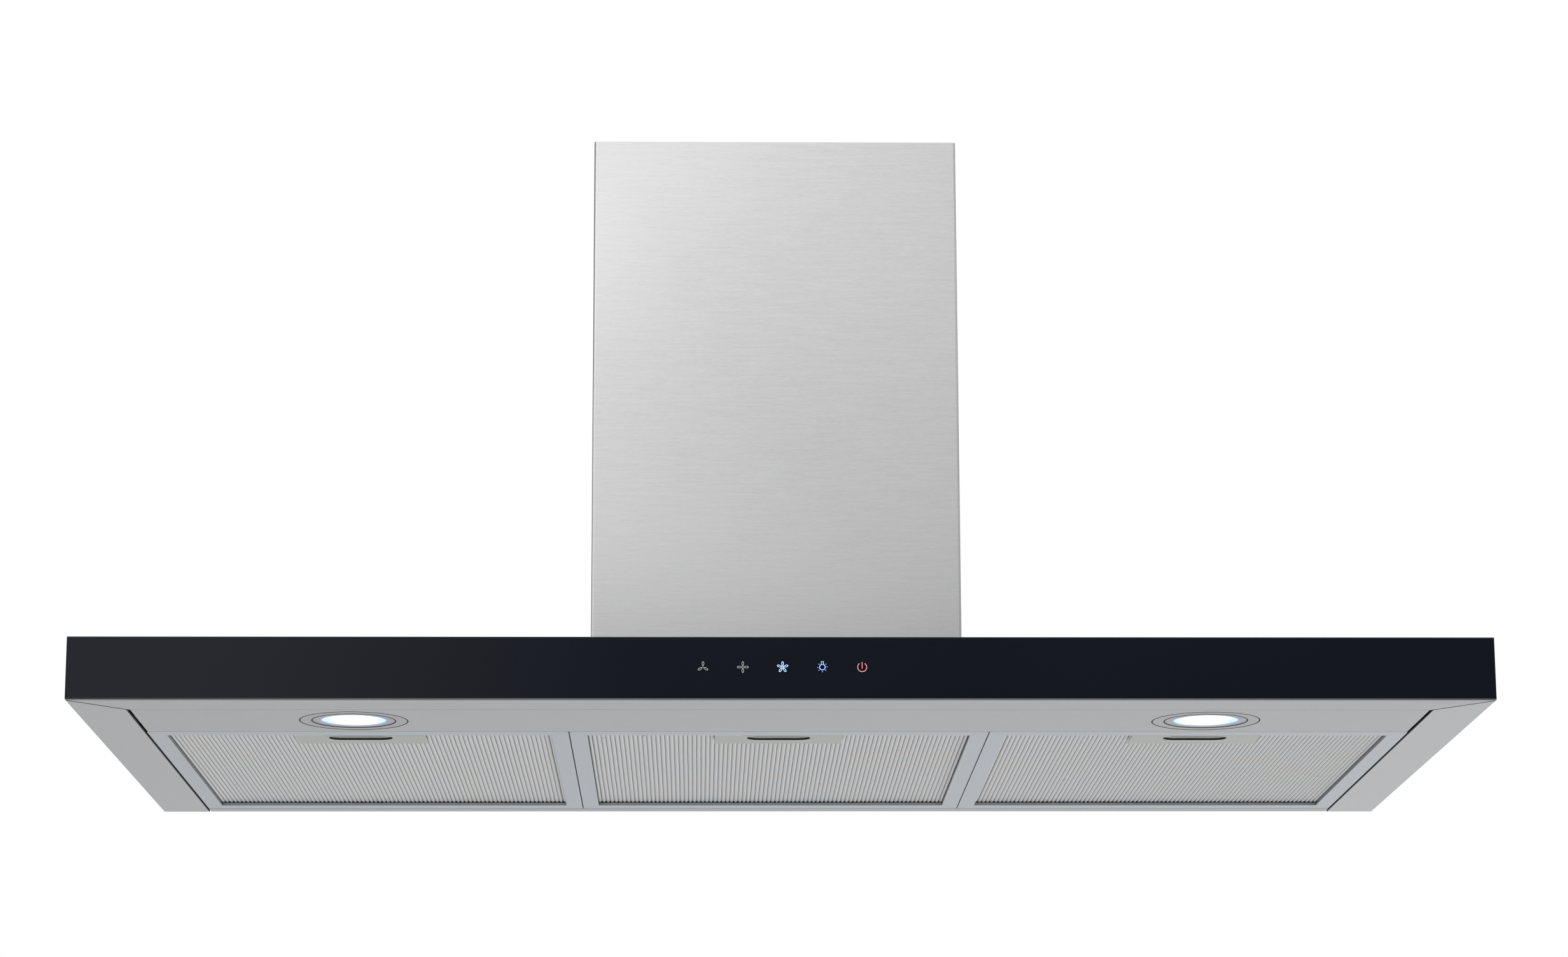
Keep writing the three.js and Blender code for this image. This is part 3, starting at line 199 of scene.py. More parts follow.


# Expanded aluminium mesh: satin strands, clouded warm and cool by use, with painted shade in the folds and
# dark specks.
def expandedMesh():
    f = meshFinishAndShade
    material, tree, shader = newMaterial("expandedAluminium", f["strand"], 1, 0.45)
    warm = patches(tree, [f["tintSize"]] * 3, detail=3)
    tint = addNode(tree, "ShaderNodeValToRGB", {0: warm}, stops=f["tints"])
    place = addNode(tree, "ShaderNodeTexCoord", output="Object")
    inputs = {"Vector": place, "Scale": 1 / (f["speckSpacing"] * mm)}
    speck = addNode(tree, "ShaderNodeTexVoronoi", inputs, "Distance")
    speck = addNode(tree, "ShaderNodeMath", {0: speck, 1: f["speckSize"]}, operation="LESS_THAN")
    inputs = {0: speck, 6: tint, 7: linear(f["speck"])}
    specked = addNode(tree, "ShaderNodeMix", inputs, 2, data_type="RGBA")
    # painted shade in the folds: the colour turns to the fold grey as the surface nears the middle of the
    # mesh's height
    height = addNode(tree, "ShaderNodeSeparateXYZ", {0: place}, "Z")
    middle = centreOf("filter_mesh_centre").z
    away = addNode(tree, "ShaderNodeMath", {0: height, 1: middle}, operation="SUBTRACT")
    away = addNode(tree, "ShaderNodeMath", {0: away}, operation="ABSOLUTE")
    inputs = {"Value": away, "From Min": f["foldFrom"] * mm, "From Max": f["foldTo"] * mm}
    depth = addNode(tree, "ShaderNodeMapRange", inputs, interpolation_type="SMOOTHSTEP")
    inputs = {0: depth, 6: specked, 7: linear(f["fold"])}
    shaded = addNode(tree, "ShaderNodeMix", inputs, 2, data_type="RGBA")
    tree.links.new(shaded, shader.inputs["Base Color"])
    return material


innerWallPaintedShade = {
    # painted shade: the inner walls are darker than the bar's outside, and black where they meet the mesh
    "bar": "#8d9092",
    "gap": "#26282a",
    "unevenSize": (5, 5, 40),
    "uneven": 0.8,  # mm that the edge of the painted shadow wanders
    "gapShadowFrom": -17.75,  # height in the part
    "gapTo": -17.45,
}


# The inside of a frame bar: anodised metal painted darker as shade, which falls into a black painted shadow
# where it meets the mesh.
def innerWall():
    f = innerWallPaintedShade
    material, tree, shader = newMaterial("frameInnerWall", f["bar"], 1, 0.5)
    place = addNode(tree, "ShaderNodeTexCoord", output="Object")
    height = addNode(tree, "ShaderNodeSeparateXYZ", {0: place}, "Z")
    inputs = {0: patches(tree, f["unevenSize"]), 1: f["uneven"] * mm, 2: height}
    edge = addNode(tree, "ShaderNodeMath", inputs, operation="MULTIPLY_ADD")
    inputs = {"Value": edge, "From Min": f["gapShadowFrom"] * mm, "From Max": f["gapTo"] * mm}
    gap = addNode(tree, "ShaderNodeMapRange", inputs)
    tint = addNode(tree, "ShaderNodeValToRGB", {0: gap}, stops=((0, f["bar"]), (1, f["gap"])))
    tree.links.new(tint, shader.inputs["Base Color"])
    return material


# Hot-dip galvanised sheet: flat crystals of zinc about 9 mm across, each a little lighter or darker.
def galvanisedSheet(name):
    material, tree, shader = newMaterial(name, "#a7acb0", 1, 0.46)
    place = addNode(tree, "ShaderNodeTexCoord", output="Object")
    crystals = addNode(tree, "ShaderNodeTexVoronoi", {"Vector": place, "Scale": 1 / (9 * mm)}, "Color")
    shade = addNode(tree, "ShaderNodeSeparateColor", {0: crystals})
    vary(tree, shader, shade, 0.09, 0.07)
    return material


# Moulded plastic: an even colour with the fine grain of an eroded mould.
def mouldedPlastic(name, hexText, roughness):
    material, tree, shader = newMaterial(name, hexText, 0, roughness)
    vary(tree, shader, patches(tree, [0.9] * 3, detail=1), 0.05, 0.05, bump=0.12, height=0.03)
    return material


# Toughened glass printed black behind: dark and very smooth, with a faint blue in the depth.
def printedGlass():
    material, tree, shader = newMaterial("printedGlass", "#060c18", 0, 0.05, IOR=1.52)
    vary(tree, shader, patches(tree, [160] * 3, detail=1), 0.06, 0.01)
    return material


# Print behind the glass with an even glow of the given colour: lit from behind for the lit marks, a painted
# glow for the unlit ones.
def glowingPrint(name, hexText, strength):
    material, tree, shader = newMaterial(name, "#202428", 0, 0.4)
    shader.inputs["Emission Color"].default_value = linear(hexText)
    shader.inputs["Emission Strength"].default_value = strength
    vary(tree, shader, patches(tree, [1] * 3), 0.02, 0.01)
    return material


# Light that spreads in the glass round a lit mark, strongest in the middle.
def glowInGlass(name, hexText, strength):
    material, tree, shader = newMaterial(name, "#000000", 0, 1)
    tree.nodes.remove(shader)
    fade = addNode(tree, "ShaderNodeAttribute", output="Fac", attribute_name="glow")
    light = addNode(tree, "ShaderNodeEmission", {"Color": linear(hexText), "Strength": strength})
    clear = addNode(tree, "ShaderNodeBsdfTransparent")
    both = addNode(tree, "ShaderNodeMixShader", {0: fade, 1: clear, 2: light})
    tree.links.new(both, tree.nodes["Material Output"].inputs["Surface"])
    return material


lensGlowAndPaintedReflection = {
    "glow": 1.1,
    "facets": 20,
    "ripple": 0.12,  # how far a facet's middle pushes the colours outwards
    # white glow in the middle, painted pale blue reflection towards the sides
    "tints": ((0, "#ffffff"), (0.46, "#ffffff"), (0.6, "#d2e8fb"), (0.72, "#bfe0f8"), (1, "#cfe8fb")),
}


# Pressed glass lens over lit diodes: white in the middle, with a painted pale blue reflection on the facets
# at its two sides.
def lampGlass():
    f = lensGlowAndPaintedReflection
    material, tree, shader = newMaterial("lampGlass", "#2c3034", 0, 0.12, IOR=1.5)
    across = addNode(tree, "ShaderNodeAttribute", output="Fac", attribute_name="across")
    around = addNode(tree, "ShaderNodeAttribute", output="Fac", attribute_name="around")
    facet = addNode(tree, "ShaderNodeMath", {0: around, 1: f["facets"] / 2}, operation="MULTIPLY")
    facet = addNode(tree, "ShaderNodeMath", {0: facet, 1: 1.0}, operation="PINGPONG")
    ripple = addNode(tree, "ShaderNodeMath", {0: facet, 1: 0.5}, operation="SUBTRACT")
    ripple = addNode(tree, "ShaderNodeMath", {0: ripple, 1: f["ripple"], 2: across}, operation="MULTIPLY_ADD")
    # painted reflection: the colour turns pale blue towards the lens's two sides, rippled by the facets
    angle = addNode(tree, "ShaderNodeMath", {0: around, 1: math.pi}, operation="MULTIPLY")
    sideways = addNode(tree, "ShaderNodeMath", {0: angle}, operation="COSINE")
    sideways = addNode(tree, "ShaderNodeMath", {0: sideways}, operation="ABSOLUTE")
    reach = addNode(tree, "ShaderNodeMath", {0: ripple, 1: sideways}, operation="MULTIPLY")
    tint = addNode(tree, "ShaderNodeValToRGB", {0: reach}, stops=f["tints"])
    tree.links.new(tint, shader.inputs["Emission Color"])
    shader.inputs["Emission Strength"].default_value = f["glow"]
    return material


# Pale matt floor paint. It is clear from below, so that it never hides the object.
def floorPaint():
    material, tree, shader = newMaterial("floorPaint", "#ecedef", 0, 0.8)
    below = addNode(tree, "ShaderNodeNewGeometry", output="Backfacing")
    clear = addNode(tree, "ShaderNodeBsdfTransparent")
    both = addNode(tree, "ShaderNodeMixShader", {0: below, 1: shader.outputs[0], 2: clear})
    tree.links.new(both, tree.nodes["Material Output"].inputs["Surface"])
    return material


lookOf = {
    "steelX": brushedStainless("X", "#c3c4c4", 0.34),
    "steelY": brushedStainless("Y", "#c3c4c4", 0.34),
    "steelLevel": brushedStainless("Level", "#d2d2d2", 0.36),
    "lampSteel": satinMetal("satinStainless", "#b9bbbc", 0.34),
    "glass": printedGlass(),
    "anodised": satinMetal("anodisedAluminium", "#c9ced2", 0.36),
    "mesh": expandedMesh(),
    # painted shade for the faces of the holes in the mesh's valleys
    "meshPitShade": satinMetal("shadedMesh", "#b2b3b4", 0.6),
    "plate": satinMetal("rolledAluminium", "#c2c5be", 0.4),
    "latch": satinMetal("zincPlatedSteel", "#b4b7b5", 0.42),
    "screw": satinMetal("zincPlatedScrew", "#c3c6c8", 0.3),
    # painted shade: a dark grey for gaps, seams, slot walls and the edges beside them
    "cutEdge": satinMetal("cutSteelEdge", "#3d3e3d", 0.6),
    "innerWall": innerWall(),
    "cast": satinMetal("dieCastAluminium", "#9fa3a6", 0.5, cloud=4),
    "galvanised": galvanisedSheet("galvanisedSheet"),
    "blackPlastic": mouldedPlastic("mouldedBlackPlastic", "#1e1f21", 0.5),
    "greyPlastic": mouldedPlastic("mouldedGreyPlastic", "#8f9497", 0.5),
    "whitePlastic": mouldedPlastic("mouldedWhitePlastic", "#e7e7e2", 0.45),
    "board": mouldedPlastic("circuitBoard", "#1f5a3a", 0.4),
    "spring": satinMetal("springSteel", "#b4b6b8", 0.22, cloud=3),
    "rubber": mouldedPlastic("blackRubber", "#17181a", 0.75),
    "lens": lampGlass(),
    # the unlit marks glow as painted light
    "unlit": glowingPrint("unlitPrint", "#b9bcbc", 0.75),
    "litBlue": glowingPrint("litBluePrint", "#bfe9ff", 1.15),
    "litRed": glowingPrint("litRedPrint", "#f0a6b0", 0.95),
    "blueGlow": glowInGlass("blueGlow", "#1a18d8", 0.3),
    "redGlow": glowInGlass("redGlow", "#a01828", 0.14),
    "lampGlow": glowInGlass("lampGlow", "#b4c4ff", 1.0),
    "floor": floorPaint(),
}
slotOf = {
    "steelX": "brushed_steel",
    "steelLevel": "brushed_steel",
    "plate": "brushed_steel",
    "latch": "brushed_steel",
    "lampSteel": "lamp_trim",
    "glass": "black_glass",
    "anodised": "anodised_aluminium",
    "mesh": "filter_mesh",
    "cast": "cast_aluminium",
    "galvanised": "galvanised_steel",
    "screw": "galvanised_steel",
    "blackPlastic": "black_plastic",
    "greyPlastic": "grey_plastic",
    "whitePlastic": "white_plastic",
    "board": "circuit_board",
    "spring": "spring_steel",
    "rubber": "black_rubber",
    "lens": "lamp_lens",
}
print("materials made:", len(lookOf))


studio = {
    "white": 1.0,  # behind the object
    # brightness by elevation in degrees, low behind the object as if by a black flag
    "front": ((-90, 0.7), (-20, 1.2), (0, 1.3), (7.4, 1.1), (12.4, 0.85), (20, 1.05), (35, 0.9), (60, 0.85),
              (90, 0.9)),
    "rear": ((-90, 0.8), (-30, 0.95), (-8, 0.79), (0, 0.66), (20, 0.5), (50, 0.7), (90, 1.0)),
    "rearBlend": 0.35,
    "stripAngles": (8.8, 11.0),  # a dark strip that the glass mirrors, deeper to the right
    "stripLeft": 0.4,
    "stripRight": 0.15,
    "stripBlend": (-0.13, 0.01),
    "frontSlant": -0.36,  # brighter from the left
    "rearSlant": 0.45,
    "slantReach": 0.4,
    "sideFlag": 0.7,
    "flagBlend": (0.25, 0.6),
    "lampTarget": (0, -0.25, 0.1),
    "floorRadius": 17,
    "floorSides": 160,
    "floorDepth": 3.2,  # below the underside, so that a view from below is clear
}
lamps = {
    "keyLeft": {"place": (-1.9, -2.8, 2.4), "size": 3.0, "power": 12},
    "fillRight": {"place": (2.8, -2.2, 1.6), "size": 2.4, "power": 8},
    "lowFront": {"place": (0.2, -1.8, -2.6), "size": 2.2, "power": 26},
    "lowRear": {"place": (1.9, 0.5, -1.7), "size": 1.4, "power": 14},
    "back": {"place": (0.6, 2.6, 1.8), "size": 2.0, "power": 30},
}


# The grey of a direction by its elevation.
def elevationGrey(tree, height, stops):
    places = [((math.sin(math.radians(angle)) + 1) / 2, grey(value)) for angle, value in sorted(stops)]
    return addNode(tree, "ShaderNodeValToRGB", {0: height}, stops=places)


def addSurroundings():
    s = studio
    world = bpy.data.worlds.new("studio")
    world.use_nodes = True
    scene.world = world
    tree = world.node_tree
    tree.nodes.clear()
    smooth = {"interpolation_type": "SMOOTHSTEP"}
    direction = addNode(tree, "ShaderNodeTexCoord", output="Generated")
    parts = addNode(tree, "ShaderNodeSeparateXYZ", {0: direction}, None)
    height = addNode(tree, "ShaderNodeMapRange", {"Value": parts["Z"], "From Min": -1})
    inputs = {"Value": parts["Y"], "From Min": -s["rearBlend"], "From Max": s["rearBlend"]}
    rearward = addNode(tree, "ShaderNodeMapRange", inputs, **smooth)
    inputs = {"Value": parts["X"], "From Min": s["stripBlend"][0], "From Max": s["stripBlend"][1]}
    rightward = addNode(tree, "ShaderNodeMapRange", inputs, **smooth)
    halves = []
    for side in ("stripLeft", "stripRight"):
        strip = tuple((angle, s[side]) for angle in s["stripAngles"])
        halves.append(elevationGrey(tree, height, s["front"] + strip))
    inputs = {0: rightward, 6: halves[0], 7: halves[1]}
    front = addNode(tree, "ShaderNodeMix", inputs, 2, data_type="RGBA")
    rear = elevationGrey(tree, height, s["rear"])
    colour = addNode(tree, "ShaderNodeMix", {0: rearward, 6: front, 7: rear}, 2, data_type="RGBA")
    slope = addNode(tree, "ShaderNodeMix", {0: rearward, 2: s["frontSlant"], 3: s["rearSlant"]})
    inputs = {"Value": parts["X"], "From Min": -s["slantReach"], "From Max": s["slantReach"], "To Min": -1}
    across = addNode(tree, "ShaderNodeMapRange", inputs)
    slant = addNode(tree, "ShaderNodeMath", {0: slope, 1: across, 2: 1.0}, operation="MULTIPLY_ADD")
    sideways = addNode(tree, "ShaderNodeMath", {0: parts["X"]}, operation="ABSOLUTE")
    inputs = {"Value": sideways, "From Min": s["flagBlend"][0], "From Max": s["flagBlend"][1], "To Min": 1.0,
              "To Max": s["sideFlag"]}
    flag = addNode(tree, "ShaderNodeMapRange", inputs, **smooth)
    strength = addNode(tree, "ShaderNodeMath", {0: slant, 1: flag}, operation="MULTIPLY")
    lit = addNode(tree, "ShaderNodeBackground", {"Color": colour, "Strength": strength})
    plain = addNode(tree, "ShaderNodeBackground", {"Color": grey(s["white"]), "Strength": 1.0})
    seen = addNode(tree, "ShaderNodeLightPath", output="Is Camera Ray")
    both = addNode(tree, "ShaderNodeMixShader", {0: seen, 1: lit, 2: plain})
    addNode(tree, "ShaderNodeOutputWorld", {"Surface": both})


def addLamps():
    for name, lamp in lamps.items():
        data = bpy.data.lights.new(name, "AREA")
        data.shape = "DISK"
        data.size = lamp["size"]
        data.energy = lamp["power"]
        light = bpy.data.objects.new(name, data)
        light.location = lamp["place"]
        towards = Vector(studio["lampTarget"]) - light.location
        light.rotation_euler = towards.to_track_quat("-Z", "Y").to_euler()
        light.visible_camera = False
        scene.collection.objects.link(light)


def addStudio():
    scene.view_settings.view_transform = "Standard"
    addSurroundings()
    addLamps()
    bm = bmesh.new()
    bmesh.ops.create_circle(bm, cap_ends=True, segments=studio["floorSides"], radius=studio["floorRadius"])
    bmesh.ops.translate(bm, verts=bm.verts, vec=(0, 0, -studio["floorDepth"]))
    floor = makePiece("studioFloor", bm, "floor")
    print("studio made")


def makePiece(name, bm, *looks):
    mesh = bpy.data.meshes.new(name)
    bm.to_mesh(mesh)
    bm.free()
    for look in looks:
        mesh.materials.append(lookOf[look])
    piece = bpy.data.objects.new(name, mesh)
    scene.collection.objects.link(piece)
    return piece


# A piece of one vertex, for a geometry node group to replace.
def seedPiece(name, look):
    bm = bmesh.new()
    bm.verts.new((0, 0, 0))
    return makePiece(name, bm, look)


# Opens a piece's mesh for editing. closeMesh puts it back.
def openMesh(piece):
    bm = bmesh.new()
    bm.from_mesh(piece.data)
    return bm


def closeMesh(bm, piece):
    bmesh.ops.recalc_face_normals(bm, faces=bm.faces)
    bm.to_mesh(piece.data)
    bm.free()


def applyModifiers(piece):
    graph = bpy.context.evaluated_depsgraph_get()
    made = piece.evaluated_get(graph)
    mesh = bpy.data.meshes.new_from_object(made, preserve_all_data_layers=True, depsgraph=graph)
    piece.modifiers.clear()
    old = piece.data
    piece.data = mesh
    bpy.data.meshes.remove(old)
    mesh.name = piece.name


# Rounds the sharp edges by a small radius, in mm. Large faces stay flat, or bow a little as thin sheet does.
def soften(piece, radius, angle=32, edgeFinish=-1, bowed=False):
    piece.data.shade_smooth()
    edges = piece.modifiers.new("edges", "BEVEL")
    edges.width = radius * mm
    edges.segments = 2
    edges.limit_method = "ANGLE"
    edges.angle_limit = math.radians(angle)
    edges.material = edgeFinish
    if bowed:
        edges.harden_normals = True
    else:
        piece.modifiers.new("flat", "WEIGHTED_NORMAL").weight = 100
    applyModifiers(piece)
    return piece


def cutAway(piece, cutter):
    cut = piece.modifiers.new("cut", "BOOLEAN")
    cut.object = cutter
    cut.solver = "EXACT"
    cut.use_self = True
    applyModifiers(piece)
    bpy.data.objects.remove(cutter)
    return piece


def addBlock(bm, centre, size):
    block = bmesh.ops.create_cube(bm, size=1)["verts"]
    bmesh.ops.scale(bm, verts=block, vec=size)
    bmesh.ops.translate(bm, verts=block, vec=centre)


def smoothByAngle(piece, angle=35):
    piece.data.shade_smooth()
    piece.data.set_sharp_from_angle(angle=math.radians(angle))
    return piece


# Gives a piece its body and hides the CAD nodes that it stands for. Its finish, slotName, is not used.
def seat(piece, body, slotName, *replaced):
    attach(piece, body)
    if replaced:
        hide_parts(*replaced)
    return piece


cleaning = {"weld": 0.004, "flatAngle": 0.6}


# A CAD node as clean faces: doubles merged and flat triangles joined.
def cleanCopy(node):
    bm = openMesh(cadNodes[node])
    bmesh.ops.remove_doubles(bm, verts=bm.verts, dist=cleaning["weld"] * mm)
    flat = math.radians(cleaning["flatAngle"])
    bmesh.ops.dissolve_limit(bm, angle_limit=flat, verts=bm.verts, edges=bm.edges)
    return bm


# A node's name as a piece's name, which differs from it.
def camel(node):
    words = node.split("_")
    if len(words) == 1:
        words.append("body")
    return words[0] + "".join(word.title() for word in words[1:])


# A CAD node whose edges are rounded and whose faces take a finish, from a copy that may have been worked on.
def dress(node, looks, radius=0.25, body="root", angle=32, edgeFinish=-1, bowed=False, bm=None):
    names = looks.split()
    piece = makePiece(camel(node), bm or cleanCopy(node), *names)
    soften(piece, radius, angle, edgeFinish, bowed)
    return seat(piece, body, slotOf[names[0]], node)


def isWall(face):
    return abs(face.normal.z) < 0.5


def bisect(bm, place, normal, **options):
    geometry = bm.verts[:] + bm.edges[:] + bm.faces[:]
    return bmesh.ops.bisect_plane(bm, geom=geometry, dist=1e-6, plane_co=place, plane_no=normal, **options)


# Faces between neighbouring rings of vertices. A ring of one vertex is a tip.
def bridge(bm, pairs):
    for lower, upper in pairs:
        steps = max(len(lower), len(upper))
        for i in range(steps):
            j = (i + 1) % steps
            below = [lower[k % len(lower)] for k in (i, j)]
            above = [upper[k % len(upper)] for k in (j, i)]
            corners = list(dict.fromkeys(below + above))
            if len(corners) > 2:
                bm.faces.new(corners)


# A solid between an outline and its shifted copy.
def addPrism(bm, *outlines):
    ends = [[bm.verts.new(corner) for corner in outline] for outline in outlines]
    bm.faces.new(ends[0])
    bm.faces.new(ends[1][::-1])
    bridge(bm, [ends])


def circle(steps):
    angles = [2 * math.pi * i / steps for i in range(steps)]
    return [(math.cos(angle), math.sin(angle)) for angle in angles]


# A closed [radius, height] profile in mm turned about an axis through a centre in metres.
def turned(profile, centre, axis="Z", steps=96, bm=None):
    bm = bm or bmesh.new()
    across = bm.verts.layers.float.get("across") or bm.verts.layers.float.new("across")
    around = bm.verts.layers.float.get("around") or bm.verts.layers.float.new("around")
    widest = max(r for r, z in profile)
    rings = []
    for r, z in profile:
        ring = []
        for i, (x, y) in enumerate(circle(steps)[:1 if r == 0 else steps]):
            vert = bm.verts.new((r * mm * x, r * mm * y, z * mm))
            vert[across] = r / widest
            vert[around] = 2 * abs(0.5 - i / steps)
            ring.append(vert)
        rings.append(ring)
    closing = [(rings[-1], rings[0])] if profile[0][0] > 0 else []
    bridge(bm, list(zip(rings, rings[1:])) + closing)
    new = [vert for ring in rings for vert in ring]
    if axis == "X":
        bmesh.ops.rotate(bm, verts=new, matrix=Matrix.Rotation(math.pi / 2, 3, "Y"))
    bmesh.ops.translate(bm, verts=new, vec=centre)
    bmesh.ops.recalc_face_normals(bm, faces=bm.faces)
    return bm


# A thin disc of light with its own strength at each (radius, strength), in the plane of X and up.
def makeGlow(name, centre, rings, steps, up, facing, look, slotName):
    bm = bmesh.new()
    glow = bm.verts.layers.float.new("glow")
    loops = []
    for radius, strength in rings:
        loop = []
        for x, y in circle(steps)[:1 if radius == 0 else steps]:
            vert = bm.verts.new(centre + (Vector((x, 0, 0)) + up * y) * radius * mm)
            vert[glow] = strength
            loop.append(vert)
        loops.append(loop)
    bridge(bm, zip(loops, loops[1:]))
    bmesh.ops.recalc_face_normals(bm, faces=bm.faces)
    if bm.faces[:][0].normal.dot(facing) < 0:
        bmesh.ops.reverse_faces(bm, faces=bm.faces)
    seat(makePiece(name, bm, look), "root", slotName)


canopy = {
    "sideFlange": 33.8,
    "frontFlange": 35,
    "edge": 0.12,
    "seam": 1.0,  # half of the painted shade line along a mitre
    "land": 2.6,  # the mitre starts this far from the outer corner
    "gapShade": 0.8,  # a flange's inner edge, in the shade of the gap
    "wall": 3,  # reach of the inner edge's folded wall
    "rimEdge": 0.25,
    "rimFront": 1,  # only this strip of the rim has painted shade on its edges
    "panelSide": 9,  # the light panel's folded sides, in the shade of the gap
    "panelEdge": 0.1,
    "glassEdge": 0.2,
}


# The shell, brushed along each side, with painted shade along its mitres and on the walls of its opening.
def makeShell():
    c = canopy
    low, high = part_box("canopy_shell")
    inner = high.x - c["sideFlange"] * mm
    slope = c["sideFlange"] / c["frontFlange"]
    bm = cleanCopy("canopy_shell")
    for side in (-1, 1):
        corner = Vector((side * high.x, low.y, low.z))
        normal = Vector((side, slope, 0)).normalized()
        for shift in (0, -c["seam"], c["seam"]):
            bisect(bm, corner + normal * shift * mm, normal)
        bisect(bm, (side * (inner + c["gapShade"] * mm), 0, 0), (1, 0, 0))
    for face in bm.faces:
        middle = face.calc_center_median()
        fromSide = high.x - abs(middle.x)
        fromMitre = fromSide - (middle.y - low.y) * slope
        fromInner = abs(middle.x) - inner
        inFlange = face.normal.z < -0.5 and middle.z < low.z + 0.1 * mm
        onSide = inFlange and fromInner > 0 and fromMitre < 0
        inSeam = inFlange and abs(fromMitre) < c["seam"] * mm and c["land"] * mm < fromSide < high.x - inner
        inGap = isWall(face) or onSide and fromInner < c["gapShade"] * mm
        # painted shade on the mitre seams and on the walls of the opening
        if inSeam or inGap and abs(fromInner) < c["wall"] * mm:
            face.material_index = 2
        elif onSide or abs(face.normal.x) > 0.5:
            face.material_index = 1
    dress("canopy_shell", "steelX steelY cutEdge", c["edge"], bm=bm)


def makeCanopy():
    c = canopy
    makeShell()
    # the rim's rounded edges take painted shade, kept only along its front
    rim = dress("rear_rim", "steelX cutEdge", c["rimEdge"], edgeFinish=1)
    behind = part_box("rear_rim")[0].y + c["rimFront"] * mm
    for face in rim.data.polygons:
        if face.center.y > behind:
            face.material_index = 0
    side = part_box("light_panel")[1].x - c["panelSide"] * mm
    # painted shade on the folded sides in the gap, on the front edge and on the rounded edges
    bm = cleanCopy("light_panel")
    for face in bm.faces:
        folded = abs(face.calc_center_median().x) > side
        face.material_index = int(folded or face.normal.y < -0.5)
    dress("light_panel", "steelX cutEdge", c["panelEdge"], edgeFinish=1, bm=bm)
    dress("front_glass", "glass", c["glassEdge"], angle=20)
    print("canopy made")


icons = {
    "pitch": 25.05,
    "offset": -0.4,
    "line": {"unlit": 0.34, "litBlue": 0.4, "litRed": 0.46},
    "depth": 0.04,
    "fans": (3, 4, 5),  # blades
    "petal": 3.05,
    "petalWidth": 0.7,
    "petalShape": 0.8,  # fuller towards its tip
    "petalSteps": 22,
    "hub": 0.45,
    "bulb": 1.75,
    "bulbArc": (112, 428, 28),  # from and to in degrees, and steps
    "cap": 0.66,  # half width of the bulb's cap
    "capTop": 3.65,
    "rays": (-176, -138, -90, -42, 4, 40, 140),  # degrees round the bulb
    "ray": (2.65, 3.15),
    "power": 2.85,
    "powerArc": (125, 415, 40),
    "bar": (-0.9, 3.3),
    "pieces": {  # each piece's look, and its marks from the left
        "unlitIcons": ("unlit", (0, 1)),
        "litIcons": ("litBlue", (2, 3)),
        "powerIcon": ("litRed", (4,)),
    },
    "glows": {"fanGlow": ("blueGlow", 2), "bulbGlow": ("blueGlow", 3), "powerGlow": ("redGlow", 4)},
    "glowDepth": 0.012,
    "glowRadius": 5.0,
    "glowStrength": 0.8,
    "glowFall": 2.1,
    "glowSteps": 8,
    "glowSides": 32,
}


def petal(turn):
    points = []
    for i in range(icons["petalSteps"]):
        t = 2 * math.pi * i / icons["petalSteps"]
        u = icons["hub"] + icons["petal"] * (1 - math.cos(t)) / 2
        v = icons["petalWidth"] * math.sin(t) * math.sin(t / 2) ** icons["petalShape"]
        points.append((u * math.cos(turn) - v * math.sin(turn), u * math.sin(turn) + v * math.cos(turn)))
    return points


def arc(radius, start, end, steps):
    angles = [math.radians(start + (end - start) * i / steps) for i in range(steps + 1)]
    return [(radius * math.cos(a), radius * math.sin(a)) for a in angles]


# The strokes of three fans, a bulb with rays and a power sign, as points in mm and whether they close.
def iconMarks():
    k = icons
    marks = []
    for blades in k["fans"]:
        turns = [math.pi / 2 + 2 * math.pi * i / blades for i in range(blades)]
        marks.append([(petal(turn), True) for turn in turns])
    cap = k["cap"]
    neck = math.sqrt(k["bulb"] ** 2 - cap ** 2)
    bulb = [(arc(k["bulb"], *k["bulbArc"]), False)]
    bulb.append(([(-cap, neck), (-cap, k["capTop"]), (cap, k["capTop"]), (cap, neck)], True))
    for angle in k["rays"]:
        bulb.append(([arc(reach, angle, angle, 1)[0] for reach in k["ray"]], False))
    power = [(arc(k["power"], *k["powerArc"]), False), ([(0, z) for z in k["bar"]], False)]
    return marks + [bulb, power]


# A printed line of even width along points in mm, in the plane of the glass.
def addStroke(bm, points, place, closed, width):
    count = len(points)
    rows = []
    for i, (x, z) in enumerate(points):
        before = points[i - 1] if closed or i else points[i]
        after = points[(i + 1) % count] if closed or i < count - 1 else points[i]
        along = Vector((after[0] - before[0], after[1] - before[1])).normalized()
        side = Vector((-along.y, along.x)) * width / 2
        corners = []
        for sign, depth in ((-1, 0), (1, 0), (1, icons["depth"]), (-1, icons["depth"])):
            corners.append(bm.verts.new(place + Vector((x + sign * side.x, depth, z + sign * side.y)) * mm))
        rows.append(corners)
    pairs = list(zip(rows, rows[1:]))
    if closed:
        pairs.append((rows[-1], rows[0]))
    else:
        bm.faces.new(rows[0])
        bm.faces.new(rows[-1])
    bridge(bm, pairs)


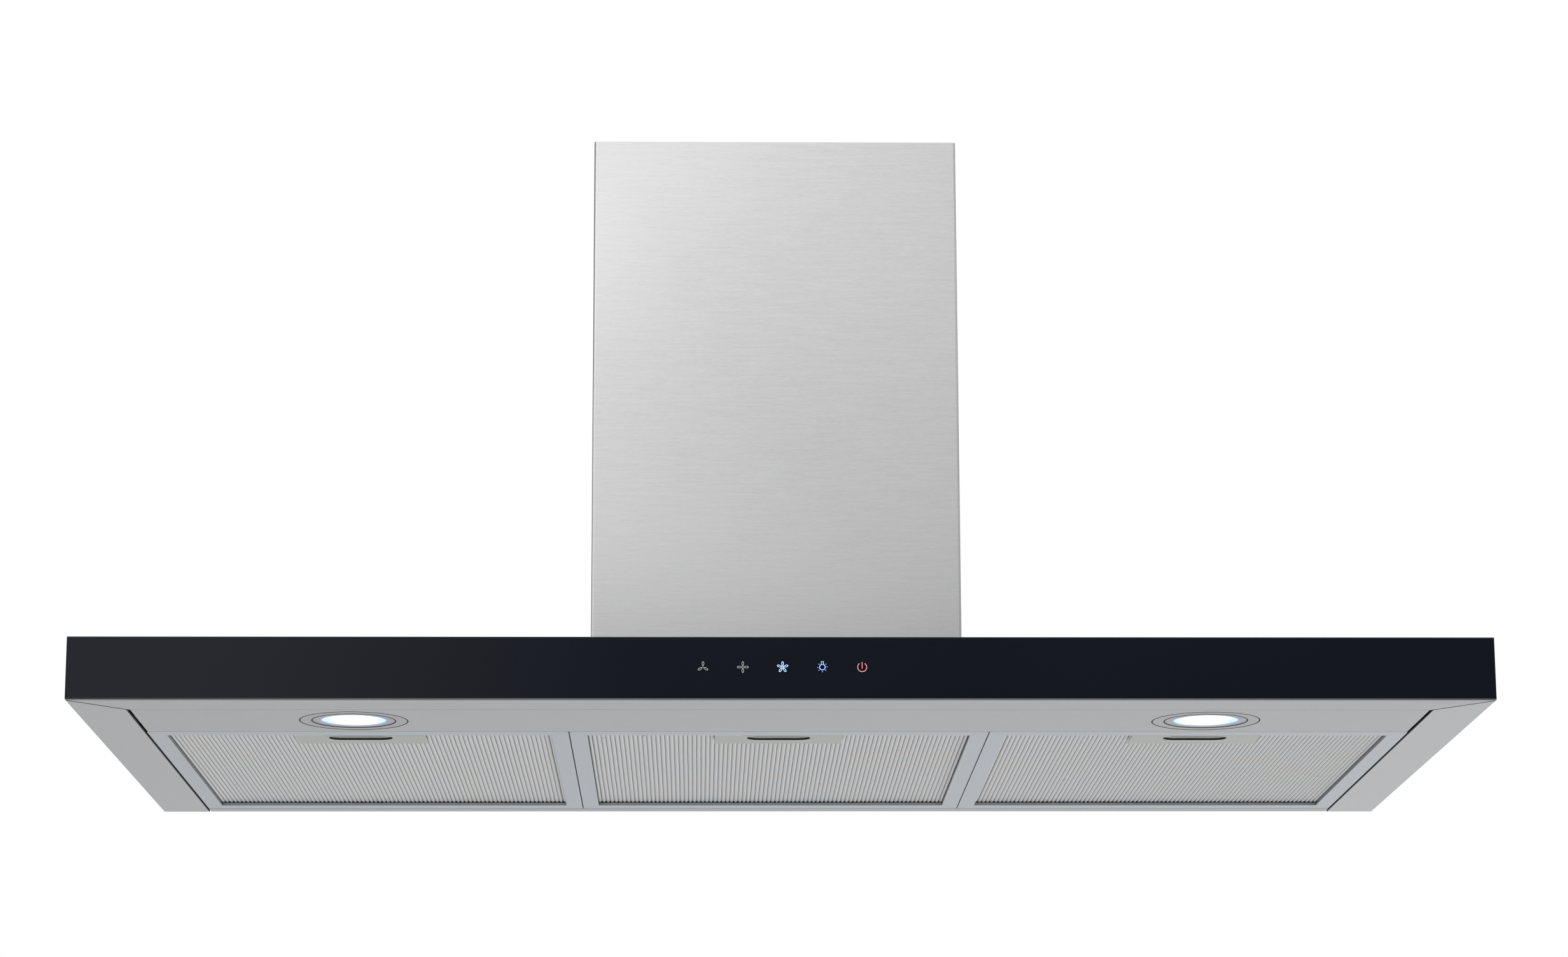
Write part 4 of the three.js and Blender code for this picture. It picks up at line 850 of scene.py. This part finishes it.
def makeIcons():
    k = icons
    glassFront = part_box("front_glass")[0].y
    row = centreOf("touch_board").z
    marks = iconMarks()

    def place(key, depth):
        return Vector((((key - 2) * k["pitch"] + k["offset"]) * mm, glassFront - depth * mm, row))

    for name, (look, keys) in k["pieces"].items():
        bm = bmesh.new()
        for key in keys:
            for points, closed in marks[key]:
                addStroke(bm, points, place(key, k["depth"]), closed, k["line"][look])
        bmesh.ops.recalc_face_normals(bm, faces=bm.faces)
        seat(makePiece(name, bm, look), "root", "black_glass")
    shares = [i / k["glowSteps"] for i in range(k["glowSteps"] + 1)]
    fades = [k["glowStrength"] * math.exp(-(k["glowFall"] * share) ** 2) * (1 - share) for share in shares]
    rings = [(k["glowRadius"] * share, fade) for share, fade in zip(shares, fades)]
    up = Vector((0, 0, 1))
    for name, (look, key) in k["glows"].items():
        spot = place(key, k["glowDepth"])
        makeGlow(name, spot, rings, k["glowSides"], up, Vector((0, -1, 0)), look, "black_glass")
    print("icons made")


lampForm = {
    "edge": 0.15,  # rounding of the rings
    "aperture": 21,
    "floor": 0.6,
    "wall": 1.8,
    "sleeve": 29.5,
    "shoulder": 1.3,
    "rim": 2.5,
    "rimThickness": 0.8,
    "gap": 0.4,
    "recess": 0.15,  # of the ring in the trim
    "bead": 0.45,  # half width of the black bead in the gap, painted shade
    "beadHeight": 0.15,
    "beadRoot": 0.3,
    "haloStart": -0.5,  # from the aperture
    "haloReach": 3.5,
    "haloDepth": 0.04,
    "haloStrength": 0.6,
    "haloSteps": 5,
    "haloSides": 64,
    "lens": ((0, 0.85), (9, 0.6), (15, 0.25), (21, 0.02), (24.4, 0), (24.4, 2.6), (0, 2.6)),
    "bodyEdge": 0.2,
    "driverEdge": 0.4,
}


# A thin black bead that fills the gap round a ring, as painted shade of the gap.
def makeShadeBead(name, radius, centre):
    w, h, root = [lampForm[key] for key in ("bead", "beadHeight", "beadRoot")]
    section = [(-w, root), (-w, 0), (-w / 2, -h), (w / 2, -h), (w, 0), (w, root)]
    bead = makePiece(name, turned([(radius + x, z) for x, z in section], centre), "rubber")
    seat(smoothByAngle(bead, 60), "root", "lamp_trim")


def turnedPiece(node, profile, centre, look, angle=35, steps=96):
    piece = makePiece(camel(node), turned(profile, centre, steps=steps), look)
    seat(smoothByAngle(piece, angle), "root", slotOf[look], node)


def makeLamp(label):
    f = lampForm
    e = f["edge"]
    low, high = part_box(f"lamp_trim_{label}")
    centre = Vector(((low.x + high.x) / 2, (low.y + high.y) / 2, low.z))
    outer = (high.x - low.x) / 2 / mm
    radius = outer - f["rim"]
    height = (high.z - low.z) / mm
    low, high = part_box(f"lamp_ring_{label}")
    ring = (high.x - low.x) / 2 / mm
    tall = (high.z - low.z) / mm
    bore = ring + f["gap"]
    rimTop = f["shoulder"] + f["rimThickness"]
    trim = [(bore, e), (bore + e, 0), (radius - e, 0), (radius, e), (radius, f["shoulder"]),
            (outer, f["shoulder"]), (outer, rimTop), (f["sleeve"], rimTop), (f["sleeve"], height),
            (bore, height)]
    turnedPiece(f"lamp_trim_{label}", trim, centre, "lampSteel")
    wall = ring - f["wall"]
    holder = [(f["aperture"], e), (f["aperture"] + e, 0), (ring - e, 0), (ring, e), (ring, tall),
              (wall, tall), (wall, f["floor"]), (f["aperture"], f["floor"])]
    up = Vector((0, 0, 1))
    turnedPiece(f"lamp_ring_{label}", holder, centre + up * f["recess"] * mm, "lampSteel")
    # black beads as painted shade in the gaps round the trim and round the ring
    makeShadeBead(f"lampSeal{label.title()}", radius + f["gap"] / 2, centre)
    makeShadeBead(f"lensSeal{label.title()}", ring + f["gap"] / 2, centre)
    shares = [i / f["haloSteps"] for i in range(f["haloSteps"] + 1)]
    inner = f["aperture"] + f["haloStart"]
    rings = [(inner + f["haloReach"] * s, f["haloStrength"] * (1 - s) ** 2) for s in shares]
    spot = centre + up * (f["recess"] - f["haloDepth"]) * mm
    name = f"lampHalo{label.title()}"
    makeGlow(name, spot, rings, f["haloSides"], Vector((0, 1, 0)), -up, "lampGlow", "lamp_trim")
    lensCentre = Vector((centre.x, centre.y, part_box(f"lamp_lens_{label}")[0].z))
    turnedPiece(f"lamp_lens_{label}", f["lens"], lensCentre, "lens", angle=50, steps=80)
    dress(f"lamp_body_{label}", "cast", f["bodyEdge"])


def makeLamps():
    for label in ("left", "right"):
        makeLamp(label)
    dress("lamp_driver", "whitePlastic", lampForm["driverEdge"])
    print("lamps made")


socketKinds = {
    int: "NodeSocketInt",
    float: "NodeSocketFloat",
    Vector: "NodeSocketVector",
    bpy.types.Object: "NodeSocketObject",
    bpy.types.Material: "NodeSocketMaterial",
}


# Runs a geometry node group on a piece and keeps the plain mesh. Each value is an input of the group, set by
# its identifier. build adds the group's nodes and returns the last geometry.
def runGroup(piece, name, build, values):
    tree = bpy.data.node_groups.new(name, "GeometryNodeTree")
    tree.interface.new_socket("Geometry", in_out="OUTPUT", socket_type="NodeSocketGeometry")
    tree.interface.new_socket("Geometry", in_out="INPUT", socket_type="NodeSocketGeometry")
    places = {}
    for label, value in values.items():
        socket = tree.interface.new_socket(label, in_out="INPUT", socket_type=socketKinds[type(value)])
        places[label] = socket.identifier
    given = tree.nodes.new("NodeGroupInput").outputs
    addNode(tree, "NodeGroupOutput", {"Geometry": build(tree, given)})
    modifier = piece.modifiers.new(name, "NODES")
    modifier.node_group = tree
    for label, value in values.items():
        modifier[places[label]] = value
    applyModifiers(piece)


# Copies of an object on points, as real geometry.
def placeCopies(tree, points, copied, **turn):
    shape = addNode(tree, "GeometryNodeObjectInfo", {"Object": copied}, "Geometry")
    copies = addNode(tree, "GeometryNodeInstanceOnPoints", {"Points": points, "Instance": shape, **turn})
    return addNode(tree, "GeometryNodeRealizeInstances", {0: copies})


filterForm = {
    "sideBar": 11.5,
    "endBar": 15,
    "mitre": 0.07,  # half of the joint between two bars
    "frameEdge": 0.14,
    "tabReach": 1.2,  # from the mesh to the rear bar's outer face; the tabs reach further
    "barWall": 3,  # the bars' inner walls lie further in than this
    "foldPitch": 3.03,
    "slitPitch": 5.0,
    "valley": 0.9,  # height of the folds
    "shoulder": 0.16,
    "shoulderPlace": 0.3,  # of the fold pitch, from the valley
    "slitHalf": 0.4,  # holes along the valleys
    "slitReach": 0.46,  # of the slit pitch, to either side
    "slitDepth": 1.3,
    "slitLip": 0.65,  # of the valley's height
    "waver": 0.35,  # of the folds to the sides
    "waverLength": 55,
    "merge": 0.02,
    "margin": 2.4,  # mesh hidden behind the bars
    "rearMargin": 5.4,
    "frontMargin": 4.4,
    "notchHalf": 29,  # the mesh ends round the latch
    "notchGap": 0.5,
    "slabOverlap": 0.1,
    "plateThickness": 0.8,
    "plateEdge": 0.15,
    "slotReach": 22,
    "slotFront": 10,  # the slot lies between these distances from the plate's front and rear
    "slotRear": 6,
    "gripInner": 12,  # the grip's step lies between these distances from the latch's rear
    "gripOuter": 13.5,
    "gripBack": 3.0,
    "gripTop": 0.5,  # below the latch's top
    "latchEdge": 0.2,
    "latchTravel": 4,
    "springRoom": 0.25,
    "springEdge": 0.02,
}


# One fold of the mesh between two ridges, with a hole in the valley whose faces take painted shade for the
# dark inside.
def foldCell():
    f = filterForm
    p, q = f["foldPitch"], f["slitPitch"]
    bm = bmesh.new()
    pit = bm.faces.layers.int.new("pit")
    spots = {}

    def vert(x, y, z):
        key = (round(x, 4), round(y, 4), round(z, 4))
        if key not in spots:
            spots[key] = bm.verts.new((x * mm, y * mm, z * mm))
        return spots[key]

    bottom = vert(0, 0, f["slitDepth"])
    valley = [vert(0, y * q, f["valley"]) for y in (-0.5, -f["slitReach"], f["slitReach"], 0.5)]
    for s in (-1, 1):
        ridge = [vert(s * p / 2, y, 0) for y in (-q / 2, 0, q / 2)]
        shoulder = [vert(s * p * f["shoulderPlace"], y, f["shoulder"]) for y in (-q / 2, 0, q / 2)]
        lip = vert(s * f["slitHalf"], 0, f["slitLip"] * f["valley"])
        faces = [
            (0, ridge[0], shoulder[0], shoulder[1], ridge[1]),
            (0, ridge[1], shoulder[1], shoulder[2], ridge[2]),
            (0, shoulder[0], valley[0], valley[1], lip, shoulder[1]),
            (0, shoulder[1], lip, valley[2], valley[3], shoulder[2]),
            (1, valley[1], bottom, lip),
            (1, lip, bottom, valley[2]),
        ]
        for inside, *corners in faces:
            face = bm.faces.new(corners if s > 0 else corners[::-1])
            face[pit] = inside
    bmesh.ops.triangulate(bm, faces=bm.faces)
    if sum(face.normal.z * face.calc_area() for face in bm.faces) > 0:
        bmesh.ops.reverse_faces(bm, faces=bm.faces)
    return makePiece("foldCell", bm)


# Copies of one fold on a grid, every second row shifted by half a hole, with a notch for the latch.
def meshField(tree, given):
    inputs = {"Size X": given["Width"], "Size Y": given["Depth"], "Vertices X": given["Folds"],
              "Vertices Y": given["Slits"]}
    grid = addNode(tree, "GeometryNodeMeshGrid", inputs)
    index = addNode(tree, "GeometryNodeInputIndex")
    column = addNode(tree, "ShaderNodeMath", {0: index, 1: given["Slits"]}, operation="DIVIDE")
    column = addNode(tree, "ShaderNodeMath", {0: column}, operation="FLOOR")
    odd = addNode(tree, "ShaderNodeMath", {0: column, 1: 2.0}, operation="MODULO")
    shift = addNode(tree, "ShaderNodeMath", {0: odd, 1: given["Slit shift"]}, operation="MULTIPLY")
    offset = addNode(tree, "ShaderNodeCombineXYZ", {"Y": shift})
    staggered = addNode(tree, "GeometryNodeSetPosition", {"Geometry": grid, "Offset": offset})
    moved = addNode(tree, "GeometryNodeTransform", {"Geometry": staggered, "Translation": given["Centre"]})
    place = addNode(tree, "GeometryNodeInputPosition")
    parts = addNode(tree, "ShaderNodeSeparateXYZ", {0: place}, None)
    sideways = addNode(tree, "ShaderNodeMath", {0: parts["X"], 1: given["Notch x"]}, operation="SUBTRACT")
    sideways = addNode(tree, "ShaderNodeMath", {0: sideways}, operation="ABSOLUTE")
    nearX = addNode(tree, "ShaderNodeMath", {0: sideways, 1: given["Notch half"]}, operation="LESS_THAN")
    nearY = addNode(tree, "ShaderNodeMath", {0: parts["Y"], 1: given["Notch rear"]}, operation="LESS_THAN")
    inNotch = addNode(tree, "ShaderNodeMath", {0: nearX, 1: nearY}, operation="MULTIPLY")
    kept = addNode(tree, "GeometryNodeDeleteGeometry", {"Geometry": moved, "Selection": inNotch})
    real = placeCopies(tree, kept, given["Cell"])
    merged = addNode(tree, "GeometryNodeMergeByDistance", {"Geometry": real, "Distance": given["Merge"]})
    inputs = {"Vector": place, "Scale": given["Waver scale"], "Detail": 1.0}
    waver = addNode(tree, "ShaderNodeTexNoise", inputs)
    waver = addNode(tree, "ShaderNodeMath", {0: waver, 1: 0.5}, operation="SUBTRACT")
    waver = addNode(tree, "ShaderNodeMath", {0: waver, 1: given["Waver"]}, operation="MULTIPLY")
    drift = addNode(tree, "ShaderNodeCombineXYZ", {"X": waver})
    wavy = addNode(tree, "GeometryNodeSetPosition", {"Geometry": merged, "Offset": drift})
    plain = addNode(tree, "GeometryNodeSetMaterial", {"Geometry": wavy, "Material": given["Finish"]})
    # the faces of the holes take the painted shade
    inside = addNode(tree, "GeometryNodeInputNamedAttribute", {"Name": "pit"}, data_type="INT")
    inputs = {"Geometry": plain, "Selection": inside, "Material": given["Inside"]}
    return addNode(tree, "GeometryNodeSetMaterial", inputs)


# Closes the fold field to a body: its open edges go up to a flat back.
def closeUpwards(bm, top):
    rim = [edge for edge in bm.edges if edge.is_boundary]
    walls = bmesh.ops.extrude_edge_only(bm, edges=rim)["geom"]
    for item in walls:
        if isinstance(item, bmesh.types.BMVert):
            item.co.z = top
    edges = [item for item in walls if isinstance(item, bmesh.types.BMEdge)]
    loop = [edge for edge in edges if all(abs(vert.co.z - top) < 1e-7 for vert in edge.verts)]
    bmesh.ops.triangle_fill(bm, use_beauty=False, use_dissolve=False, edges=loop)


# A slab of the mesh's upper layers, flat below and folded above, between two corners.
def foldedSlab(bm, low, high):
    f = filterForm
    folds = max(1, round((high.x - low.x) / (f["foldPitch"] * mm)))
    pitch = (high.x - low.x) / folds
    near = 0.5 - f["shoulderPlace"]
    outline = [(low.x, high.z)]
    for k in range(folds):
        start = low.x + k * pitch
        for share, drop in ((near, f["shoulder"]), (0.5, f["valley"]), (1 - near, f["shoulder"]), (1, 0)):
            outline.append((start + share * pitch, high.z - drop * mm))
    outline += [(high.x, low.z), (low.x, low.z)]
    addPrism(bm, *[[(x, y, z) for x, z in outline] for y in (low.y, high.y)])


def makeFilterMesh(label, cell):
    f = filterForm
    low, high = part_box(f"filter_mesh_{label}")
    middle = (low + high) / 2
    frameLow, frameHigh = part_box(f"filter_frame_{label}")
    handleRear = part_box(f"filter_handle_{label}")[1].y
    width = frameHigh.x - frameLow.x - 2 * (f["sideBar"] - f["margin"]) * mm
    folds = round(width / (f["foldPitch"] * mm))
    rear = high.y - (f["endBar"] - f["rearMargin"]) * mm
    front = low.y + (f["endBar"] - f["frontMargin"]) * mm
    slits = math.ceil((rear - front) / (f["slitPitch"] * mm))
    notch = f["notchHalf"] * mm
    piece = seedPiece(f"filterMesh{label.title()}", "mesh")
    runGroup(piece, "meshField", meshField, {
        "Width": (folds - 1) * f["foldPitch"] * mm,
        "Depth": (slits - 1) * f["slitPitch"] * mm,
        "Folds": folds,
        "Slits": slits,
        "Slit shift": f["slitPitch"] / 2 * mm,
        "Centre": Vector((middle.x, (front + rear) / 2, low.z)),
        "Notch x": middle.x,
        "Notch half": notch,
        "Notch rear": handleRear,
        "Merge": f["merge"] * mm,
        "Cell": cell,
        "Waver": f["waver"] * mm,
        "Waver scale": 1 / (f["waverLength"] * mm),
        "Finish": lookOf["mesh"],
        "Inside": lookOf["meshPitShade"],
    })
    bm = openMesh(piece)
    closeUpwards(bm, middle.z)
    left = middle.x - width / 2
    right = middle.x + width / 2
    behind = handleRear + f["notchGap"] * mm
    bottom = middle.z - f["slabOverlap"] * mm
    foldedSlab(bm, Vector((left, behind, bottom)), Vector((right, rear, high.z)))
    foldedSlab(bm, Vector((left, front, bottom)), Vector((middle.x - notch, behind, high.z)))
    foldedSlab(bm, Vector((middle.x + notch, front, bottom)), Vector((right, behind, high.z)))
    closeMesh(bm, piece)
    seat(piece, f"filter_{label}", "filter_mesh", f"filter_mesh_{label}")


# The frame's four bars, cut apart at the mitred corners.
def makeFilterFrame(label):
    f = filterForm
    node = f"filter_frame_{label}"
    low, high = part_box(node)
    high.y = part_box(f"filter_mesh_{label}")[1].y + f["tabReach"] * mm
    whole = bmesh.new()
    for outward in ((0, -1), (0, 1), (-1, 0), (1, 0)):
        bm = cleanCopy(node)
        for end in (-1, 1):
            sx = outward[0] or end
            sy = outward[1] or end
            corner = Vector((high.x if sx > 0 else low.x, high.y if sy > 0 else low.y, 0))
            normal = Vector((sy * f["endBar"], -sx * f["sideBar"], 0)).normalized()
            if normal.x * outward[0] + normal.y * outward[1] < 0:
                normal = -normal
            cut = bisect(bm, corner + normal * f["mitre"] * mm, normal, clear_inner=True)
            edges = [item for item in cut["geom_cut"] if isinstance(item, bmesh.types.BMEdge)]
            bmesh.ops.holes_fill(bm, edges=edges, sides=0)
        scratch = bpy.data.meshes.new("scratch")
        bm.to_mesh(scratch)
        bm.free()
        whole.from_mesh(scratch)
        bpy.data.meshes.remove(scratch)
    wall = f["barWall"] * mm
    # the inner walls take the painted shade
    for face in whole.faces:
        x, y = face.calc_center_median().xy
        if isWall(face) and low.x + wall < x < high.x - wall and low.y + wall < y < high.y - wall:
            face.material_index = 1
    dress(node, "anodised innerWall", f["frameEdge"], f"filter_{label}", bm=whole)


# The handle plate, with painted shade on the walls of its finger slot and on their rounded edges.
def makeHandle(label):
    f = filterForm
    node = f"filter_handle_{label}"
    low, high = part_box(node)
    middleX = (low.x + high.x) / 2
    bm = cleanCopy(node)
    for face in bm.faces:
        x, y, z = face.calc_center_median()
        inPlate = abs(x - middleX) < f["slotReach"] * mm and z < low.z + f["plateThickness"] * mm
        # painted shade on the walls of the finger slot
        if isWall(face) and inPlate and low.y + f["slotFront"] * mm < y < high.y - f["slotRear"] * mm:
            face.material_index = 1
    plate = dress(node, "plate cutEdge", f["plateEdge"], f"filter_{label}", edgeFinish=1, bm=bm)
    for face in plate.data.polygons:
        if abs(face.center.x - middleX) > f["slotReach"] * mm:
            face.material_index = 0


# The latch, with the step of its finger grip further back than in the plain solid, and a pocket behind that
# takes the spring when the latch is drawn.
def makeLatch(label):
    f = filterForm
    node = f"filter_latch_{label}"
    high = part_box(node)[1]
    bm = cleanCopy(node)
    for vert in bm.verts:
        inGrip = f["gripInner"] * mm < high.y - vert.co.y < f["gripOuter"] * mm
        if inGrip and vert.co.z < high.z - f["gripTop"] * mm:
            vert.co.y += f["gripBack"] * mm
    piece = makePiece(camel(node), bm, "latch")
    springLow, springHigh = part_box(f"filter_spring_{label}")
    room = f["springRoom"] * mm
    pocketLow = Vector((springLow.x - room, high.y - f["latchTravel"] * mm - room, springLow.z - room))
    pocketHigh = Vector((springHigh.x + room, high.y + room, high.z + room))
    pocket = bmesh.new()
    addBlock(pocket, (pocketLow + pocketHigh) / 2, pocketHigh - pocketLow)
    soften(cutAway(piece, makePiece("pocket", pocket)), f["latchEdge"])
    seat(piece, f"latch_{label}", "brushed_steel", node)


def makeFilters():
    cell = foldCell()
    for label in ("left", "centre", "right"):
        makeFilterMesh(label, cell)
        makeFilterFrame(label)
        makeHandle(label)
        makeLatch(label)
        dress(f"filter_spring_{label}", "spring", filterForm["springEdge"], f"filter_{label}", angle=60)
        print("filter made:", label)
    bpy.data.objects.remove(cell)


chimneyEdge = {"lower": 0.25, "upper": 0.2}


def makeChimney():
    dress("lower_chimney", "steelLevel", chimneyEdge["lower"], bowed=True)
    dress("upper_chimney", "steelLevel", chimneyEdge["upper"], "upper_chimney", bowed=True)
    dress("chimney_bracket", "galvanised")
    print("chimney made")


# Each CAD node's look, edge radius in mm, and body where it moves.
innerParts = {
    "motor_box": ("galvanised", 0.25),
    "motor": ("galvanised", 0.5),
    "motor_bracket": ("galvanised", 0.25),
    "volute_left": ("blackPlastic", 0.3),
    "volute_right": ("blackPlastic", 0.3),
    "motor_shaft": ("spring", 0.2, "impeller"),
    "capacitor": ("whitePlastic", 0.3),
    "outlet_collar": ("blackPlastic", 0.3),
    "damper_pin": ("spring", 0.2),
    "damper_flap_front": ("greyPlastic", 0.2, "damper_front"),
    "damper_flap_rear": ("greyPlastic", 0.2, "damper_rear"),
    "terminal_box": ("whitePlastic", 0.4),
    "terminal_lid": ("whitePlastic", 0.4),
    "cable_grommet": ("rubber", 0.3),
    "touch_board": ("board", 0.1),
    "touch_housing": ("blackPlastic", 0.3),
}


def makeInnerParts():
    for node, finish in innerParts.items():
        dress(node, *finish)
    print("inner parts made:", len(innerParts))


impellerForm = {
    "blades": 28,
    "bladeSteps": 8,
    "outer": 75,
    "inner": 61,
    "setIn": 0.5,  # ends of a blade inside the rings
    "thickness": 0.9,
    "camber": 3.2,
    "lead": 2.5,
    "ring": 2,
    "disc": 2,
    "discOverlap": 3,
    "hub": 15,
    "hubHalf": 13,
    "bore": 4.3,
}


# One forward-curved blade, at the bottom of the wheel.
def makeBlade(half):
    f = impellerForm
    root = f["inner"] + f["setIn"]
    rim = f["outer"] - f["setIn"]
    shares = [i / f["bladeSteps"] for i in range(f["bladeSteps"] + 1)]
    outline = []
    for side, order in ((1, shares), (-1, shares[::-1])):
        for t in order:
            bow = f["camber"] * 4 * t * (1 - t) + f["lead"] * t
            outline.append((bow + side * f["thickness"] / 2, -(root + (rim - root) * t)))
    bm = bmesh.new()
    addPrism(bm, *[[(x * mm, y * mm, z * mm) for y, z in outline] for x in (-half, half)])
    bmesh.ops.recalc_face_normals(bm, faces=bm.faces)
    return makePiece("blade", bm)


# The blades, turned step by step round the wheel's axis.
def bladeRing(tree, given):
    hub = addNode(tree, "GeometryNodePoints", {"Count": given["Blades"], "Position": given["Centre"]})
    index = addNode(tree, "GeometryNodeInputIndex")
    angle = addNode(tree, "ShaderNodeMath", {0: index, 1: given["Step"]}, operation="MULTIPLY")
    turn = addNode(tree, "ShaderNodeCombineXYZ", {"X": angle})
    placed = placeCopies(tree, hub, given["Blade"], Rotation=turn)
    return addNode(tree, "GeometryNodeSetMaterial", {"Geometry": placed, "Material": given["Finish"]})


def makeImpeller():
    f = impellerForm
    low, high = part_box("impeller")
    centre = (low + high) / 2
    half = (high.x - low.x) / 2 / mm
    blade = makeBlade(half - f["ring"] / 2)
    wheel = seedPiece("impellerWheel", "greyPlastic")
    values = {"Blades": f["blades"], "Step": 2 * math.pi / f["blades"], "Centre": centre, "Blade": blade,
              "Finish": lookOf["greyPlastic"]}
    runGroup(wheel, "bladeRing", bladeRing, values)
    bpy.data.objects.remove(blade)
    bm = openMesh(wheel)
    for start in (-half, half - f["ring"]):
        end = start + f["ring"]
        ring = [(f["inner"], start), (f["outer"], start), (f["outer"], end), (f["inner"], end)]
        turned(ring, centre, "X", bm=bm)
    disc = f["disc"] / 2
    reach = f["inner"] + f["discOverlap"]
    hub = [(f["bore"], -f["hubHalf"]), (f["hub"], -f["hubHalf"]), (f["hub"], -disc), (reach, -disc),
           (reach, disc), (f["hub"], disc), (f["hub"], f["hubHalf"]), (f["bore"], f["hubHalf"])]
    turned(hub, centre, "X", bm=bm)
    closeMesh(bm, wheel)
    seat(smoothByAngle(wheel), "impeller", "grey_plastic", "impeller")
    print("impeller made")


screwForm = {
    "dome": ((0, -0.2), (3.2, -0.2), (3.2, 0.665), (2.88, 1.368), (2.08, 1.767), (0, 1.9)),
    "height": 1.9,
    "cross": ((3.6, 0.9), (0.9, 3.6)),
    "crossDepth": 2.2,
    "boxInset": 4,  # from the edge of the motor box's flange
    "boxPlaces": (20, 134, 248),  # from the wall
    "collarInset": 4.2,
    "collarAngles": (45, 135, 225, 315),
    "lidInset": 6,
    "seed": 11,
}


# A domed screw head with a cross recess.
def screwHead():
    f = screwForm
    head = makePiece("screwHead", turned(f["dome"], Vector(), steps=28), "screw")
    cross = bmesh.new()
    for x, y in f["cross"]:
        addBlock(cross, (0, 0, f["height"] * mm), (x * mm, y * mm, f["crossDepth"] * mm))
    return smoothByAngle(cutAway(head, makePiece("screwCross", cross)))


# Each screw stopped at its own turn.
def screwRows(tree, given):
    turn = addNode(tree, "FunctionNodeRandomValue", {2: 0.0, 3: math.pi, 8: given["Seed"]}, 1)
    rotation = addNode(tree, "ShaderNodeCombineXYZ", {"Z": turn})
    placed = placeCopies(tree, given["Geometry"], given["Head"], Rotation=rotation)
    return addNode(tree, "GeometryNodeSetMaterial", {"Geometry": placed, "Material": given["Finish"]})


# The points of a node's upper faces that lie under the given places.
def restOn(node, places):
    bm = openMesh(cadNodes[node])
    surface = BVHTree.FromBMesh(bm)
    bm.free()
    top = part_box(node)[1].z + 0.01
    return [surface.ray_cast(Vector((x, y, top)), Vector((0, 0, -1)))[0] for x, y in places]


def makeScrews():
    f = screwForm
    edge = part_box("motor_box")[1].x - f["boxInset"] * mm
    points = restOn("motor_box", [(side * edge, -y * mm) for side in (-1, 1) for y in f["boxPlaces"]])
    low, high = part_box("outlet_collar")
    middle = (low + high) / 2
    reach = (high.x - low.x) / 2 - f["collarInset"] * mm
    turns = [math.radians(angle) for angle in f["collarAngles"]]
    places = [(middle.x + reach * math.cos(a), middle.y + reach * math.sin(a)) for a in turns]
    points += restOn("outlet_collar", places)
    low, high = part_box("terminal_lid")
    inset = f["lidInset"] * mm
    points += restOn("terminal_lid", [(low.x + inset, high.y - inset), (high.x - inset, low.y + inset)])
    bm = bmesh.new()
    for point in points:
        bm.verts.new(point)
    screws = makePiece("panScrews", bm, "screw")
    head = screwHead()
    runGroup(screws, "screws", screwRows, {"Head": head, "Seed": f["seed"], "Finish": lookOf["screw"]})
    bpy.data.objects.remove(head)
    seat(screws, "root", "galvanised_steel")
    print("screws made:", len(points))


addCamera()
addStudio()
makeCanopy()
makeIcons()
makeLamps()
makeFilters()
makeChimney()
makeInnerParts()
makeImpeller()
makeScrews()

print("scene made")
